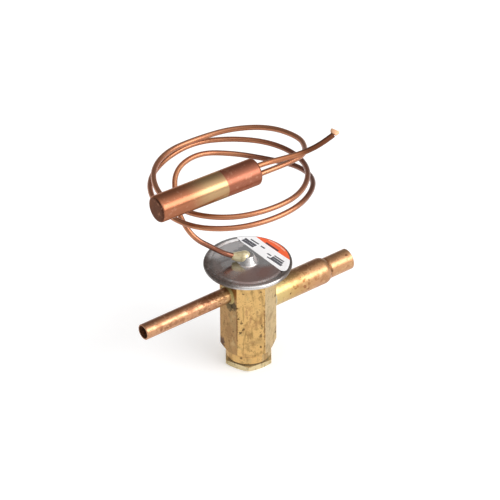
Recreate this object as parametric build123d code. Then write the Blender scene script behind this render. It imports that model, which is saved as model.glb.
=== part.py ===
from build123d import *
import math
import os

# Refrigerant expansion valve with brazed tube stubs, a diaphragm head on top and a remote sensing
# bulb on a coiled capillary. Millimetres, +Z up along the valve's axis. The origin is the centre of
# the bottom plug's underside, and +X points out of the outlet stub.

# Bottom plug, its seal ring and the spring retainer on it
PLUG_AF = 26.6
PLUG_FLANGE = 3.4
PLUG_TURN = -6.5
PLUG_CHAMFER_DEG = 30
SEAL_RING_THICK = 0.7
SEAL_RING_R = 12.3
THREAD_R = 10.9
THREAD_CLEAR = 0.05
THREAD_LENGTH = 9.2
UNDERCUT_R = 10.2
UNDERCUT_LENGTH = 1.0
PILOT_R = 8.8
PILOT_LENGTH = 2.4
POCKET_DEPTH = 1.2
SEAT_FIT = 0.05

# Hexagonal body
HEX_AF = 28.575
NECK_R = 13.25
NECK_LENGTH = 5.15
NECK_EDGE = 0.4
HEX_TOP = 61.7
HEX_TOP_CHAMFER_DEG = 30
HUB_R = 11.0
HUB_HEIGHT = 1.8
CHAMBER_R = 10.3
CHAMBER_TOP = 41.7
CHAMBER_EDGE = 1.2
BODY_TURN = 30
HEX_EDGE = 0.3

# Tube stubs, in standard inch sizes of copper tube
INLET_Z = 51.7
INLET_R = 4.7625
INLET_WALL = 0.8
INLET_REACH = 74.5
INLET_SOCKET = 6.0
OUTLET_Z = 38.8
OUTLET_R = 7.9375
OUTLET_WALL = 1.0
OUTLET_SOCKET = 5.0
OUTLET_END_R = 6.35
OUTLET_REACH = 73.0
SHOULDER_START = 51.5
SHOULDER_END = 56.8
CREASE_DEPTH = 0.35
BROW_RUN = 0.62
BROW_DROP = 0.33
SPIGOT_STEP = 0.25
TUBE_EDGE = 0.25
BRAZE_GAP = 0.05
INLET_FILLET = (1.3, 1.3)
OUTLET_FILLET = (0.4, 0.9)
FILLET_BELLY = 0.25

# Inlet bore and the strainer cup that stands in the inlet stub
INLET_BORE_R = 3.8
INLET_BORE_END = 3.0
STRAINER_WALL = 0.35
STRAINER_LENGTH = 14.0
STRAINER_TIP_R = 1.6
STRAINER_FLANGE = 1.0
STRAINER_GAP = 0.3

# Port, pin, carrier, push rods and buffer plate
PORT_R = 1.6
SEAT_R = 4.5
SEAT_LENGTH = 4.9
SEAT_LIP = 0.4
PORT_PASSAGE_R = 2.4
PIN_STEM_R = 2.0
PIN_CLEAR = 0.03
PIN_TIP_R = 0.9
PIN_TIP_LENGTH = 2.8
PIN_TAPER = 1.7
PIN_SHANK_R = 1.4
PIN_SHANK_LENGTH = 2.2
CARRIER_R = 9.6
CARRIER_THICK = 2.5
CARRIER_BELOW_SEAT = 4.1
CARRIER_BOSS_R = 3.4
CARRIER_BOSS = 1.6
SPIGOT_R = 4.2
SPIGOT_LENGTH = 4.0
SMALL_EDGE = 0.4
ROD_R = 1.2
ROD_CLEAR = 0.06
ROD_OFFSET = 8.0
BUFFER_R = 15.5
BUFFER_THICK = 2.5
BUFFER_RIM = 0.9
BUFFER_STEP = 3.0

# Spring that closes the valve
SPRING_WIRE_R = 0.75
SPRING_MEAN_R = 5.6
SPRING_TURNS = 6
RETAINER_R = 7.2
RETAINER_THICK = 1.6

# Diaphragm head: an upper shell whose edge is rolled round the diaphragm and the lower shell
RIM_Z = 67.8
RIM_HALF = 1.4
RIM_CENTRE_R = 24.3
UPPER_WALL = 0.8
LOWER_WALL = 1.0
DIAPHRAGM = 0.2
CLAMP_WIDTH = 1.4
VALLEY_WIDTH = 1.3
VALLEY_DROP = 0.7
PLATEAU_DROP = 0.2
DISH_INSET = 0.8
DISH_DROP = 0.9
CUP_FLOOR_R = 15.0
CUP_FLOOR_HALF = 0.4
CUP_TOP_OUT = 0.6
CUP_RELIEF = 1.2
DOME_BASE_R = 5.6
DOME_FOOT_R = 6.5
DOME_TOP_R = 3.8
DOME_HEIGHT = 4.9
DOME_FOOT = 0.9
DOME_FLARE_R = 1.6
DOME_ROUND = 0.9
DOME_ROUND_RATIO = 1.1

# Sticker on the head
LABEL_THICK = 0.15
LABEL_CHORD_X = 9.0
LABEL_MARGIN = 0.1
LABEL_TURN = 1.5
LABEL_FRONT_CORNER = 2.4
LABEL_BACK_CORNER = 0.8

# Capillary. Heights of its root and riser are above the rim's middle plane, the coil's drops are
# below the bulb's axis, and the lead's places are distances from the middle of the bulb's mouth.
CAPILLARY_R = 1.5875
CAPILLARY_BORE_R = 0.65
CAPILLARY_ROOT = (-2.6, 1.95, 4.3)
RISER = [(-8.0, 6.0, 4.9), (-18.6, 8.6, 13.9), (-28.6, 13.1, 22.4)]
RISER += [(-31.0, 22.5, 32.0), (-26.9, 33.4, 39.4)]
COIL_X = -3.0
COIL_Y = 9.5
COIL_FIRST_ANGLE = 113.5
COIL_STEP = 30
COIL_RADII = [38.7, 40.7, 39.3, 40.1, 44.5, 47.5, 46.6, 46.4, 48.1, 50.4]
COIL_RADII += [50.0, 49.0, 46.4, 45.0, 42.8, 42.8, 43.3, 44.0, 44.4, 44.6]
COIL_RADII += [46.0, 47.3, 47.5, 46.8, 45.0, 42.0, 42.5, 43.9, 44.2]
COIL_DROPS = [27.1, 26.4, 29.7, 30.8, 27.4, 22.4, 21.0, 20.3, 21.5, 22.9]
COIL_DROPS += [22.4, 22.4, 22.9, 21.4, 21.7, 20.6, 19.1, 16.4, 15.8, 14.4]
COIL_DROPS += [15.4, 16.4, 16.4, 15.9, 16.9, 17.4, 14.4, 10.6, 7.1]
LEAD = [(41.6, 8.1, -6.0), (34.2, 1.0, -4.0), (23.1, -1.1, -3.1)]
BEND_RATIO = 0.45

# Braze that ties the capillary's end to the dome
BLOB_REACH = 9.2
BLOB_TIP_R = 2.1
BLOB_ROOT_R = 3.5
BLOB_CAP_R = 3.9
BLOB_CAP_Z = 4.1
BLOB_CAP_RATIO = 0.23

# Sensing bulb, its end cap and the charging tube pinched off at its far end. The charging tube's
# places are distances from the middle of the bulb's mouth.
BULB_R = 7.9375
BULB_WALL = 0.9
BULB_LENGTH = 66.9
BULB_EDGE = 1.8
BULB_LIP = 1.6
BULB_X = -5.6
BULB_Y = -15.7
BULB_HEIGHT = 75.4
BULB_YAW = -3.0
CAP_THICK = 2.2
CAP_RECESS = 1.7
PORT_SPACING = 6.2
TUBE_INSERT = 4.2
LEAD_OUT = 9.6
COLLAR_LEG = 0.8
COLLAR_LENGTH = 2.4
CHARGE_R = 1.5875
CHARGE_OUT = 5.6
CHARGE_ROUTE = [(15.1, -3.8, 4.0), (26.1, -8.9, 6.1), (36.6, -13.3, 10.6), (43.8, -14.7, 14.7)]
PINCH_LENGTH = 3.0
PINCH_WIDTH = 5.2
PINCH_THICK = 1.1
PINCH_AXIS = (0.64, 0.19, 0.74)
PINCH_ACROSS = (0.60, -0.73, -0.33)

PLUG_TOP = PLUG_FLANGE
BODY_BOTTOM = PLUG_TOP + SEAL_RING_THICK
SHANK_TOP = PLUG_TOP + THREAD_LENGTH
PILOT_TOP = SHANK_TOP + PILOT_LENGTH
HALF_AF = HEX_AF / 2
HUB_TOP = HEX_TOP + HUB_HEIGHT
SEAT_BOTTOM = CHAMBER_TOP - SEAT_LIP
CARRIER_TOP = SEAT_BOTTOM - CARRIER_BELOW_SEAT
RETAINER_TOP = PILOT_TOP + RETAINER_THICK
CLAMP_R = RIM_CENTRE_R - CLAMP_WIDTH
VALLEY_R = CLAMP_R - VALLEY_WIDTH
PLATEAU_R = VALLEY_R - VALLEY_WIDTH
DISH_R = VALLEY_R - DISH_INSET
LABEL_R = RIM_CENTRE_R - LABEL_MARGIN
RIM_TOP = RIM_Z + RIM_HALF
RIM_BOTTOM = RIM_Z - RIM_HALF
FLANGE_TOP = RIM_TOP - UPPER_WALL
PLATEAU_TOP = RIM_TOP - PLATEAU_DROP
DISH_TOP = FLANGE_TOP - DISH_DROP
BUFFER_TOP = DISH_TOP - DIAPHRAGM
BUFFER_BOTTOM = BUFFER_TOP - BUFFER_THICK
VALLEY_TOP = RIM_TOP - VALLEY_DROP
DOME_TOP = PLATEAU_TOP + DOME_HEIGHT
INLET_FLOOR = INLET_SOCKET - HALF_AF
OUTLET_FLOOR = HALF_AF - OUTLET_SOCKET
INLET_TOE = -HALF_AF - INLET_FILLET[1]
OUTLET_TOE = HALF_AF + OUTLET_FILLET[1]
INLET_SPIGOT_R = INLET_R - SPIGOT_STEP
OUTLET_SPIGOT_R = OUTLET_R - SPIGOT_STEP
BULB_BORE_R = BULB_R - BULB_WALL
CAP_OUTER_X = -CAP_RECESS
CAP_INNER_X = CAP_OUTER_X - CAP_THICK


def turned(points):
    """Solid of revolution about the valve's axis from (radius, height) points."""
    return revolve(Plane.XZ * make_face(Polyline(*points, close=True)), Axis.Z)


def turned_on_x(points, height=0.0):
    """Solid of revolution about a line along X at a height, from (x, radius) points."""
    face = Plane.XZ * make_face(Polyline(*points, close=True))
    return Pos(0, 0, height) * revolve(face, Axis.X)


def fillet_ring(radius, root_r, face_x, side, height, legs):
    """Hollow-faced braze round a tube along X at the face it enters, with a bore of radius root_r."""
    rise, reach = legs
    toe_x = face_x + side * reach
    sink = 1 - FILLET_BELLY
    top = (face_x, radius + rise)
    belly = (face_x + side * reach * sink / 2, radius + rise * sink / 2)
    edges = [Line((face_x, root_r), top), ThreePointArc(top, belly, (toe_x, radius))]
    if root_r < radius:
        edges.append(Line((toe_x, radius), (toe_x, root_r)))
    edges.append(Line((toe_x, root_r), (face_x, root_r)))
    return Pos(0, 0, height) * revolve(Plane.XZ * make_face(Wire(edges)), Axis.X)


def upright(radius, low, high, x=0.0, y=0.0):
    """Upright cylinder between two heights."""
    return Pos(x, y, (low + high) / 2) * Cylinder(radius, high - low)


def along_x(radius, start, end, height):
    """Cylinder along X between two places."""
    return Pos((start + end) / 2, 0, height) * Rot(0, 90, 0) * Cylinder(radius, end - start)


def hexagon(across_flats, low, high, turn):
    """Hexagonal prism with a corner at the angle turn and lightly rounded upright edges."""
    outline = RegularPolygon(across_flats / 2, 6, major_radius=False, rotation=turn)
    outline = fillet(outline.vertices(), HEX_EDGE)
    return Pos(0, 0, low) * extrude(outline, high - low)


def valve_body():
    """Hexagonal bar with a turned neck, drilled for the ports, the rods and the spring chamber."""
    corner_r = HEX_AF / math.sqrt(3)
    neck_top = BODY_BOTTOM + NECK_LENGTH
    top_drop = (corner_r - HALF_AF) * math.tan(math.radians(HEX_TOP_CHAMFER_DEG))
    envelope = turned([
        (0, BODY_BOTTOM),
        (NECK_R - NECK_EDGE, BODY_BOTTOM),
        (NECK_R, BODY_BOTTOM + NECK_EDGE),
        (NECK_R, neck_top),
        (corner_r, neck_top + corner_r - NECK_R),
        (corner_r, HEX_TOP - top_drop),
        (HALF_AF, HEX_TOP),
        (0, HEX_TOP),
    ])
    body = hexagon(HEX_AF, BODY_BOTTOM, HEX_TOP, BODY_TURN) & envelope
    body += upright(HUB_R, HEX_TOP, HUB_TOP)
    body -= turned([
        (0, BODY_BOTTOM),
        (THREAD_R, BODY_BOTTOM),
        (THREAD_R, SHANK_TOP),
        (CHAMBER_R, SHANK_TOP + THREAD_R - CHAMBER_R),
        (CHAMBER_R, CHAMBER_TOP - CHAMBER_EDGE),
        (CHAMBER_R - CHAMBER_EDGE, CHAMBER_TOP),
        (0, CHAMBER_TOP),
    ])
    body -= upright(SEAT_R, CHAMBER_TOP, SEAT_BOTTOM + SEAT_LENGTH)
    body -= upright(PORT_PASSAGE_R, CHAMBER_TOP, INLET_Z)
    body -= along_x(INLET_BORE_R, -HALF_AF, INLET_BORE_END, INLET_Z)
    body -= along_x(INLET_SPIGOT_R + BRAZE_GAP, -HALF_AF, INLET_FLOOR, INLET_Z)
    body -= along_x(OUTLET_SPIGOT_R + BRAZE_GAP, OUTLET_FLOOR, HALF_AF, OUTLET_Z)
    body -= along_x(OUTLET_R - OUTLET_WALL, 0, HALF_AF, OUTLET_Z) & upright(HALF_AF, 0, CHAMBER_TOP)
    for side in (-1, 1):
        body -= upright(ROD_R + ROD_CLEAR, CHAMBER_TOP - CHAMBER_EDGE, HUB_TOP, 0, side * ROD_OFFSET)
    return body


def bottom_plug():
    """Hexagonal plug that closes the spring chamber and that the valve stands on."""
    chamfer_rise = (PLUG_AF / math.sqrt(3) - PLUG_AF / 2) * math.tan(math.radians(PLUG_CHAMFER_DEG))
    corner_r = PLUG_AF / math.sqrt(3)
    envelope = turned([
        (0, 0),
        (PLUG_AF / 2, 0),
        (corner_r, chamfer_rise),
        (corner_r, PLUG_TOP),
        (0, PLUG_TOP),
    ])
    plug = hexagon(PLUG_AF, 0, PLUG_TOP, PLUG_TURN) & envelope
    shank_r = THREAD_R - THREAD_CLEAR
    plug += turned([
        (0, PLUG_TOP),
        (UNDERCUT_R, PLUG_TOP),
        (UNDERCUT_R, PLUG_TOP + UNDERCUT_LENGTH),
        (shank_r, PLUG_TOP + UNDERCUT_LENGTH + shank_r - UNDERCUT_R),
        (shank_r, SHANK_TOP - SMALL_EDGE),
        (shank_r - SMALL_EDGE, SHANK_TOP),
        (PILOT_R, SHANK_TOP),
        (PILOT_R, PILOT_TOP - SMALL_EDGE),
        (PILOT_R - SMALL_EDGE, PILOT_TOP),
        (0, PILOT_TOP),
    ])
    return plug - upright(SPIGOT_R + SEAT_FIT, PILOT_TOP - POCKET_DEPTH, PILOT_TOP)


def plug_seal_ring():
    """Soft ring between the plug's flange and the body's neck."""
    ring = upright(SEAL_RING_R, PLUG_TOP, BODY_BOTTOM)
    return ring - upright(THREAD_R, PLUG_TOP, BODY_BOTTOM)


def spring_retainer():
    """Cup disc on the plug's pilot that centres the lower end of the spring."""
    return turned([
        (0, PILOT_TOP - POCKET_DEPTH),
        (SPIGOT_R, PILOT_TOP - POCKET_DEPTH),
        (SPIGOT_R, PILOT_TOP),
        (RETAINER_R, PILOT_TOP),
        (RETAINER_R, RETAINER_TOP - SMALL_EDGE),
        (RETAINER_R - SMALL_EDGE, RETAINER_TOP),
        (SPIGOT_R, RETAINER_TOP),
        (SPIGOT_R, RETAINER_TOP + SPIGOT_LENGTH - SMALL_EDGE),
        (SPIGOT_R - SMALL_EDGE, RETAINER_TOP + SPIGOT_LENGTH),
        (0, RETAINER_TOP + SPIGOT_LENGTH),
    ])


def closing_spring():
    """Round-wire compression spring with its end turns ground flat."""
    low = RETAINER_TOP
    high = CARRIER_TOP - CARRIER_THICK
    pitch = (high - low) / SPRING_TURNS
    path = Pos(0, 0, low) * Helix(pitch, high - low, SPRING_MEAN_R)
    wire = sweep(Plane(path @ 0, z_dir=path % 0) * Circle(SPRING_WIRE_R), path)
    return wire & upright(2 * SPRING_MEAN_R, low, high)


def inlet_tube():
    """Straight copper stub brazed into the high side of the body."""
    end = INLET_FLOOR - STRAINER_FLANGE
    return turned_on_x([
        (-INLET_REACH, INLET_R - INLET_WALL),
        (-INLET_REACH, INLET_R - TUBE_EDGE),
        (TUBE_EDGE - INLET_REACH, INLET_R),
        (INLET_TOE, INLET_R),
        (INLET_TOE, INLET_SPIGOT_R),
        (end, INLET_SPIGOT_R),
        (end, INLET_R - INLET_WALL),
    ], INLET_Z)


def inlet_strainer():
    """Tapered cup of fine mesh, held by its flange between the stub's end and the body."""
    seat = INLET_FLOOR - STRAINER_FLANGE
    tip = seat - STRAINER_LENGTH
    base_r = INLET_R - INLET_WALL - STRAINER_GAP
    return turned_on_x([
        (INLET_FLOOR, base_r - STRAINER_WALL),
        (INLET_FLOOR, INLET_SPIGOT_R - SEAT_FIT),
        (seat, INLET_SPIGOT_R - SEAT_FIT),
        (seat, base_r),
        (tip, STRAINER_TIP_R),
        (tip, 0),
        (tip + STRAINER_WALL, 0),
        (tip + STRAINER_WALL, STRAINER_TIP_R - STRAINER_WALL),
    ], INLET_Z)


def outlet_tube():
    """Copper stub on the low side, drawn down to a smaller size past its shoulder."""
    bore = OUTLET_R - OUTLET_WALL
    end_bore = OUTLET_END_R - OUTLET_WALL
    brow_x = SHOULDER_START + BROW_RUN * (SHOULDER_END - SHOULDER_START)
    brow_r = OUTLET_R - BROW_DROP * (OUTLET_R - OUTLET_END_R)
    shoulder = (SHOULDER_START, OUTLET_R)
    crease = (SHOULDER_END, OUTLET_END_R - CREASE_DEPTH)
    root = (OUTLET_FLOOR, bore)
    barrel = Polyline(
        root,
        (OUTLET_FLOOR, OUTLET_SPIGOT_R),
        (OUTLET_TOE, OUTLET_SPIGOT_R),
        (OUTLET_TOE, OUTLET_R),
        shoulder,
    )
    end = Polyline(
        crease,
        (SHOULDER_END + 2 * CREASE_DEPTH, OUTLET_END_R),
        (OUTLET_REACH - TUBE_EDGE, OUTLET_END_R),
        (OUTLET_REACH, OUTLET_END_R - TUBE_EDGE),
        (OUTLET_REACH, end_bore),
        (SHOULDER_END, end_bore),
        (SHOULDER_START, bore),
        root,
    )
    brow = ThreePointArc(shoulder, (brow_x, brow_r), crease)
    outline = Wire([*barrel.edges(), brow, *end.edges()])
    return Pos(0, 0, OUTLET_Z) * revolve(Plane.XZ * make_face(outline), Axis.X)


def seat_insert():
    """Hard ring with the metering port, pressed up into the web between the chambers."""
    top = SEAT_BOTTOM + SEAT_LENGTH
    return turned([
        (PORT_R, SEAT_BOTTOM),
        (SEAT_R - SMALL_EDGE, SEAT_BOTTOM),
        (SEAT_R, SEAT_BOTTOM + SMALL_EDGE),
        (SEAT_R, top),
        (PORT_PASSAGE_R, top),
        (PORT_R, top - (PORT_PASSAGE_R - PORT_R)),
    ])


def valve_pin():
    """Tapered pin that closes the port from below."""
    contact_r = PORT_R - PIN_CLEAR
    boss_top = CARRIER_TOP + CARRIER_BOSS
    return turned([
        (0, boss_top - PIN_SHANK_LENGTH),
        (PIN_SHANK_R, boss_top - PIN_SHANK_LENGTH),
        (PIN_SHANK_R, boss_top),
        (PIN_STEM_R, boss_top),
        (PIN_STEM_R, SEAT_BOTTOM - PIN_TAPER),
        (contact_r, SEAT_BOTTOM),
        (PIN_TIP_R, SEAT_BOTTOM + PIN_TIP_LENGTH),
        (0, SEAT_BOTTOM + PIN_TIP_LENGTH),
    ])


def pin_carrier():
    """Disc that holds the pin, takes the push rods on top and the spring underneath."""
    boss_top = CARRIER_TOP + CARRIER_BOSS
    low = CARRIER_TOP - CARRIER_THICK
    carrier = turned([
        (0, low - SPIGOT_LENGTH),
        (SPIGOT_R - SMALL_EDGE, low - SPIGOT_LENGTH),
        (SPIGOT_R, low - SPIGOT_LENGTH + SMALL_EDGE),
        (SPIGOT_R, low),
        (CARRIER_R - SMALL_EDGE, low),
        (CARRIER_R, low + SMALL_EDGE),
        (CARRIER_R, CARRIER_TOP - SMALL_EDGE),
        (CARRIER_R - SMALL_EDGE, CARRIER_TOP),
        (CARRIER_BOSS_R, CARRIER_TOP),
        (CARRIER_BOSS_R, boss_top),
        (0, boss_top),
    ])
    return carrier - upright(PIN_SHANK_R, boss_top - PIN_SHANK_LENGTH, boss_top)


def push_rod(side):
    """Rod from the buffer plate down to the carrier, on one side of the port."""
    return upright(ROD_R, CARRIER_TOP, BUFFER_BOTTOM, 0, side * ROD_OFFSET)


def buffer_plate():
    """Stepped disc under the diaphragm that carries its stroke to the rods."""
    inner = BUFFER_R - BUFFER_STEP
    return turned([
        (0, BUFFER_BOTTOM),
        (inner, BUFFER_BOTTOM),
        (inner, BUFFER_TOP - BUFFER_RIM),
        (BUFFER_R, BUFFER_TOP - BUFFER_RIM),
        (BUFFER_R, BUFFER_TOP - SMALL_EDGE),
        (BUFFER_R - SMALL_EDGE, BUFFER_TOP),
        (0, BUFFER_TOP),
    ])


def diaphragm():
    """Thin dished membrane clamped in the rim."""
    return turned([
        (0, BUFFER_TOP),
        (DISH_R, BUFFER_TOP),
        (VALLEY_R, VALLEY_TOP - UPPER_WALL - DIAPHRAGM),
        (CLAMP_R, FLANGE_TOP - DIAPHRAGM),
        (RIM_CENTRE_R, FLANGE_TOP - DIAPHRAGM),
        (RIM_CENTRE_R, FLANGE_TOP),
        (CLAMP_R, FLANGE_TOP),
        (VALLEY_R, VALLEY_TOP - UPPER_WALL),
        (DISH_R, DISH_TOP),
        (0, DISH_TOP),
    ])


def head_lower_shell():
    """Pressed cup that seats on the hexagon's top and carries the rim."""
    flange_top = FLANGE_TOP - DIAPHRAGM
    flange_bottom = flange_top - LOWER_WALL
    floor_top = HEX_TOP + LOWER_WALL
    return turned([
        (HUB_R, HEX_TOP),
        (CUP_FLOOR_R + CUP_FLOOR_HALF, HEX_TOP),
        (VALLEY_R + CUP_TOP_OUT, flange_bottom),
        (RIM_CENTRE_R, flange_bottom),
        (RIM_CENTRE_R, flange_top),
        (CLAMP_R, flange_top),
        (VALLEY_R, VALLEY_TOP - UPPER_WALL - DIAPHRAGM),
        (DISH_R, BUFFER_TOP - CUP_RELIEF),
        (CUP_FLOOR_R - CUP_FLOOR_HALF, floor_top),
        (HUB_R, floor_top),
    ])


def dome_edges():
    """Outside of the dome, from its top centre down to where it flares into the flat."""
    brow = (DOME_TOP_R - DOME_ROUND, DOME_TOP)
    shoulder = (DOME_TOP_R, DOME_TOP - DOME_ROUND)
    foot = (DOME_BASE_R, PLATEAU_TOP + DOME_FOOT)
    flare = (DOME_FOOT_R, PLATEAU_TOP)
    return [
        Line((0, DOME_TOP), brow),
        RadiusArc(brow, shoulder, DOME_ROUND_RATIO * DOME_ROUND),
        Line(shoulder, foot),
        RadiusArc(foot, flare, -DOME_FLARE_R),
    ]


def head_upper_shell():
    """Pressed cover with a central dome, its edge rolled round the rim seam."""
    lip_r = RIM_HALF - UPPER_WALL
    plateau_under = PLATEAU_TOP - UPPER_WALL
    dome_under = DOME_TOP - UPPER_WALL
    flat = Polyline(
        (DOME_FOOT_R, PLATEAU_TOP),
        (PLATEAU_R, PLATEAU_TOP),
        (VALLEY_R, VALLEY_TOP),
        (CLAMP_R, RIM_TOP),
        (RIM_CENTRE_R, RIM_TOP),
    )
    curl_out = [
        RadiusArc((RIM_CENTRE_R, RIM_TOP), (RIM_CENTRE_R + RIM_HALF, RIM_Z), RIM_HALF),
        RadiusArc((RIM_CENTRE_R + RIM_HALF, RIM_Z), (RIM_CENTRE_R, RIM_BOTTOM), RIM_HALF),
    ]
    lip = Polyline(
        (RIM_CENTRE_R, RIM_BOTTOM),
        (CLAMP_R, RIM_BOTTOM),
        (CLAMP_R, RIM_Z - lip_r),
        (RIM_CENTRE_R, RIM_Z - lip_r),
    )
    curl_in = [
        RadiusArc((RIM_CENTRE_R, RIM_Z - lip_r), (RIM_CENTRE_R + lip_r, RIM_Z), -lip_r),
        RadiusArc((RIM_CENTRE_R + lip_r, RIM_Z), (RIM_CENTRE_R, RIM_Z + lip_r), -lip_r),
    ]
    under = Polyline(
        (RIM_CENTRE_R, FLANGE_TOP),
        (CLAMP_R, FLANGE_TOP),
        (VALLEY_R, VALLEY_TOP - UPPER_WALL),
        (PLATEAU_R, plateau_under),
        (DOME_BASE_R - UPPER_WALL, plateau_under),
        (DOME_TOP_R - UPPER_WALL, dome_under),
        (0, dome_under),
        (0, DOME_TOP),
    )
    edges = [*dome_edges(), *flat.edges(), *curl_out, *lip.edges(), *curl_in, *under.edges()]
    shell = revolve(Plane.XZ * make_face(Wire(edges)), Axis.Z)
    return shell - capillary_end(CAPILLARY_R + SEAT_FIT)


def head_label():
    """Paper sticker in the shape of a circle's segment, across the flat and up onto the rim."""
    under = [(0, PLATEAU_TOP), (PLATEAU_R, PLATEAU_TOP), (CLAMP_R, RIM_TOP), (LABEL_R, RIM_TOP)]
    over = [(r, z + LABEL_THICK) for r, z in reversed(under)]
    outline = Circle(LABEL_R)
    outline &= Pos(LABEL_CHORD_X + LABEL_R, 0) * Rectangle(2 * LABEL_R, 2 * LABEL_R)
    outline = fillet(outline.vertices().sort_by(Axis.Y)[0], LABEL_FRONT_CORNER)
    outline = fillet(outline.vertices().sort_by(Axis.Y)[-1], LABEL_BACK_CORNER)
    column = Pos(0, 0, PLATEAU_TOP - LABEL_THICK) * extrude(outline, RIM_HALF)
    return turned(under + over) & (Rot(0, 0, LABEL_TURN) * column)


def above_rim(point):
    """Place whose third value is a height above the rim's middle plane."""
    return Vector(point[0], point[1], RIM_Z + point[2])


def coil_points():
    """Corner points of the loose coil, clockwise seen from above, at their drops below the bulb."""
    points = []
    for step, (radius, drop) in enumerate(zip(COIL_RADII, COIL_DROPS)):
        angle = math.radians(COIL_FIRST_ANGLE - step * COIL_STEP)
        x = COIL_X + radius * math.cos(angle)
        y = COIL_Y + radius * math.sin(angle)
        points.append(above_rim((x, y, BULB_HEIGHT - drop)))
    return points


def bulb_place():
    """Location with its origin at the middle of the bulb's mouth and +X out of the mouth."""
    return Location((BULB_X, BULB_Y, RIM_Z + BULB_HEIGHT), (0, 0, BULB_YAW))


def bulb_point(x, z):
    """Point on the bulb's upright middle plane, in the bulb's own frame."""
    return (bulb_place() * Pos(x, 0, z)).position


def from_mouth(offset):
    """Place at given distances from the middle of the bulb's mouth, along the valve's axes."""
    return bulb_place().position + Vector(*offset)


def bends(points):
    """Bend radius at each inner corner of a route, as large as its two runs allow."""
    radii = []
    for before, corner, after in zip(points, points[1:], points[2:]):
        run_in = corner - before
        run_out = after - corner
        half_turn = math.radians(run_in.get_angle(run_out)) / 2
        radii.append(BEND_RATIO * min(run_in.length, run_out.length) / math.tan(half_turn))
    return radii


def capillary_route():
    """Corner points of the capillary from the dome to the bulb."""
    points = [above_rim(CAPILLARY_ROOT)]
    points += [above_rim(point) for point in RISER]
    points += coil_points()
    points += [from_mouth(offset) for offset in LEAD]
    drop = -PORT_SPACING / 2
    points.append(bulb_point(LEAD_OUT, drop))
    points.append(bulb_point(-TUBE_INSERT, drop))
    return points


def charging_route():
    """Corner points of the charging tube from the bulb to its pinched end."""
    rise = PORT_SPACING / 2
    points = [bulb_point(-TUBE_INSERT, rise), bulb_point(CHARGE_OUT, rise)]
    points += [from_mouth(offset) for offset in CHARGE_ROUTE]
    return points


def tube_on(points, radius, bore_r=0.0):
    """Round tube, or a rod where the bore is 0, along straight runs and tangent bends."""
    path = FilletPolyline(*points, radius=bends(points))
    section = Circle(radius)
    if bore_r > 0:
        section -= Circle(bore_r)
    return sweep(Plane(path @ 0, z_dir=path % 0) * section, path)


def capillary_end(radius):
    """Rod along the capillary's first bend, from inside the dome."""
    return tube_on(capillary_route()[:3], radius)


def capillary_tube():
    """Copper capillary that joins the head to the bulb."""
    return tube_on(capillary_route(), CAPILLARY_R, CAPILLARY_BORE_R)


def dome_solid():
    """The dome's outer form with the room under it filled, to fit the braze round it."""
    outline = dome_edges() + [
        Line((DOME_FOOT_R, PLATEAU_TOP), (DOME_FOOT_R, HUB_TOP)),
        Line((DOME_FOOT_R, HUB_TOP), (0, HUB_TOP)),
        Line((0, HUB_TOP), (0, DOME_TOP)),
    ]
    return revolve(Plane.XZ * make_face(Wire(outline)), Axis.Z)


def capillary_braze():
    """Run of braze that buries the capillary's end on the dome's flank and top."""
    start = above_rim(CAPILLARY_ROOT)
    run = above_rim(RISER[0]) - start
    reach = BLOB_REACH - math.hypot(start.X, start.Y)
    cone = Cone(BLOB_ROOT_R, BLOB_TIP_R, reach)
    lump = Plane(start, z_dir=run) * Pos(0, 0, reach / 2) * cone
    cap_at = (BLOB_CAP_RATIO * start.X, BLOB_CAP_RATIO * start.Y, RIM_Z + BLOB_CAP_Z)
    lump += Pos(*cap_at) * Sphere(BLOB_CAP_R)
    return lump - dome_solid() - capillary_end(CAPILLARY_R)


def sensing_bulb():
    """Copper can that is clamped to the suction line, with the edge of its mouth turned in."""
    closed = -BULB_LENGTH
    mouth_r = BULB_R - BULB_LIP
    edges = [
        Line((closed, 0), (closed, BULB_R - BULB_EDGE)),
        RadiusArc((closed, BULB_R - BULB_EDGE), (closed + BULB_EDGE, BULB_R), BULB_EDGE),
        Line((closed + BULB_EDGE, BULB_R), (-BULB_LIP, BULB_R)),
        RadiusArc((-BULB_LIP, BULB_R), (0, mouth_r), BULB_LIP),
        Line((0, mouth_r), (-BULB_WALL, mouth_r)),
        RadiusArc((-BULB_WALL, mouth_r), (-BULB_LIP, BULB_BORE_R), BULB_WALL - BULB_LIP),
        Line((-BULB_LIP, BULB_BORE_R), (closed + BULB_WALL, BULB_BORE_R)),
        Line((closed + BULB_WALL, BULB_BORE_R), (closed + BULB_WALL, 0)),
        Line((closed + BULB_WALL, 0), (closed, 0)),
    ]
    return bulb_place() * revolve(Plane.XZ * make_face(Wire(edges)), Axis.X)


def bulb_end_cap():
    """Thick disc in the bulb's mouth, drilled for the capillary and the charging tube."""
    cap = along_x(BULB_BORE_R - BRAZE_GAP, CAP_INNER_X, CAP_OUTER_X, 0)
    for side in (-1, 1):
        hole_r = (CAPILLARY_R if side < 0 else CHARGE_R) + SEAT_FIT
        cap -= along_x(hole_r, CAP_INNER_X, CAP_OUTER_X, side * PORT_SPACING / 2)
    return bulb_place() * cap


def bulb_braze():
    """Braze fillets round the two small tubes where they enter the end cap."""
    legs = (COLLAR_LEG, COLLAR_LENGTH)
    low = fillet_ring(CAPILLARY_R, CAPILLARY_R, CAP_OUTER_X, 1, -PORT_SPACING / 2, legs)
    high = fillet_ring(CHARGE_R, CHARGE_R, CAP_OUTER_X, 1, PORT_SPACING / 2, legs)
    return bulb_place() * Compound([low, high])


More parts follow.
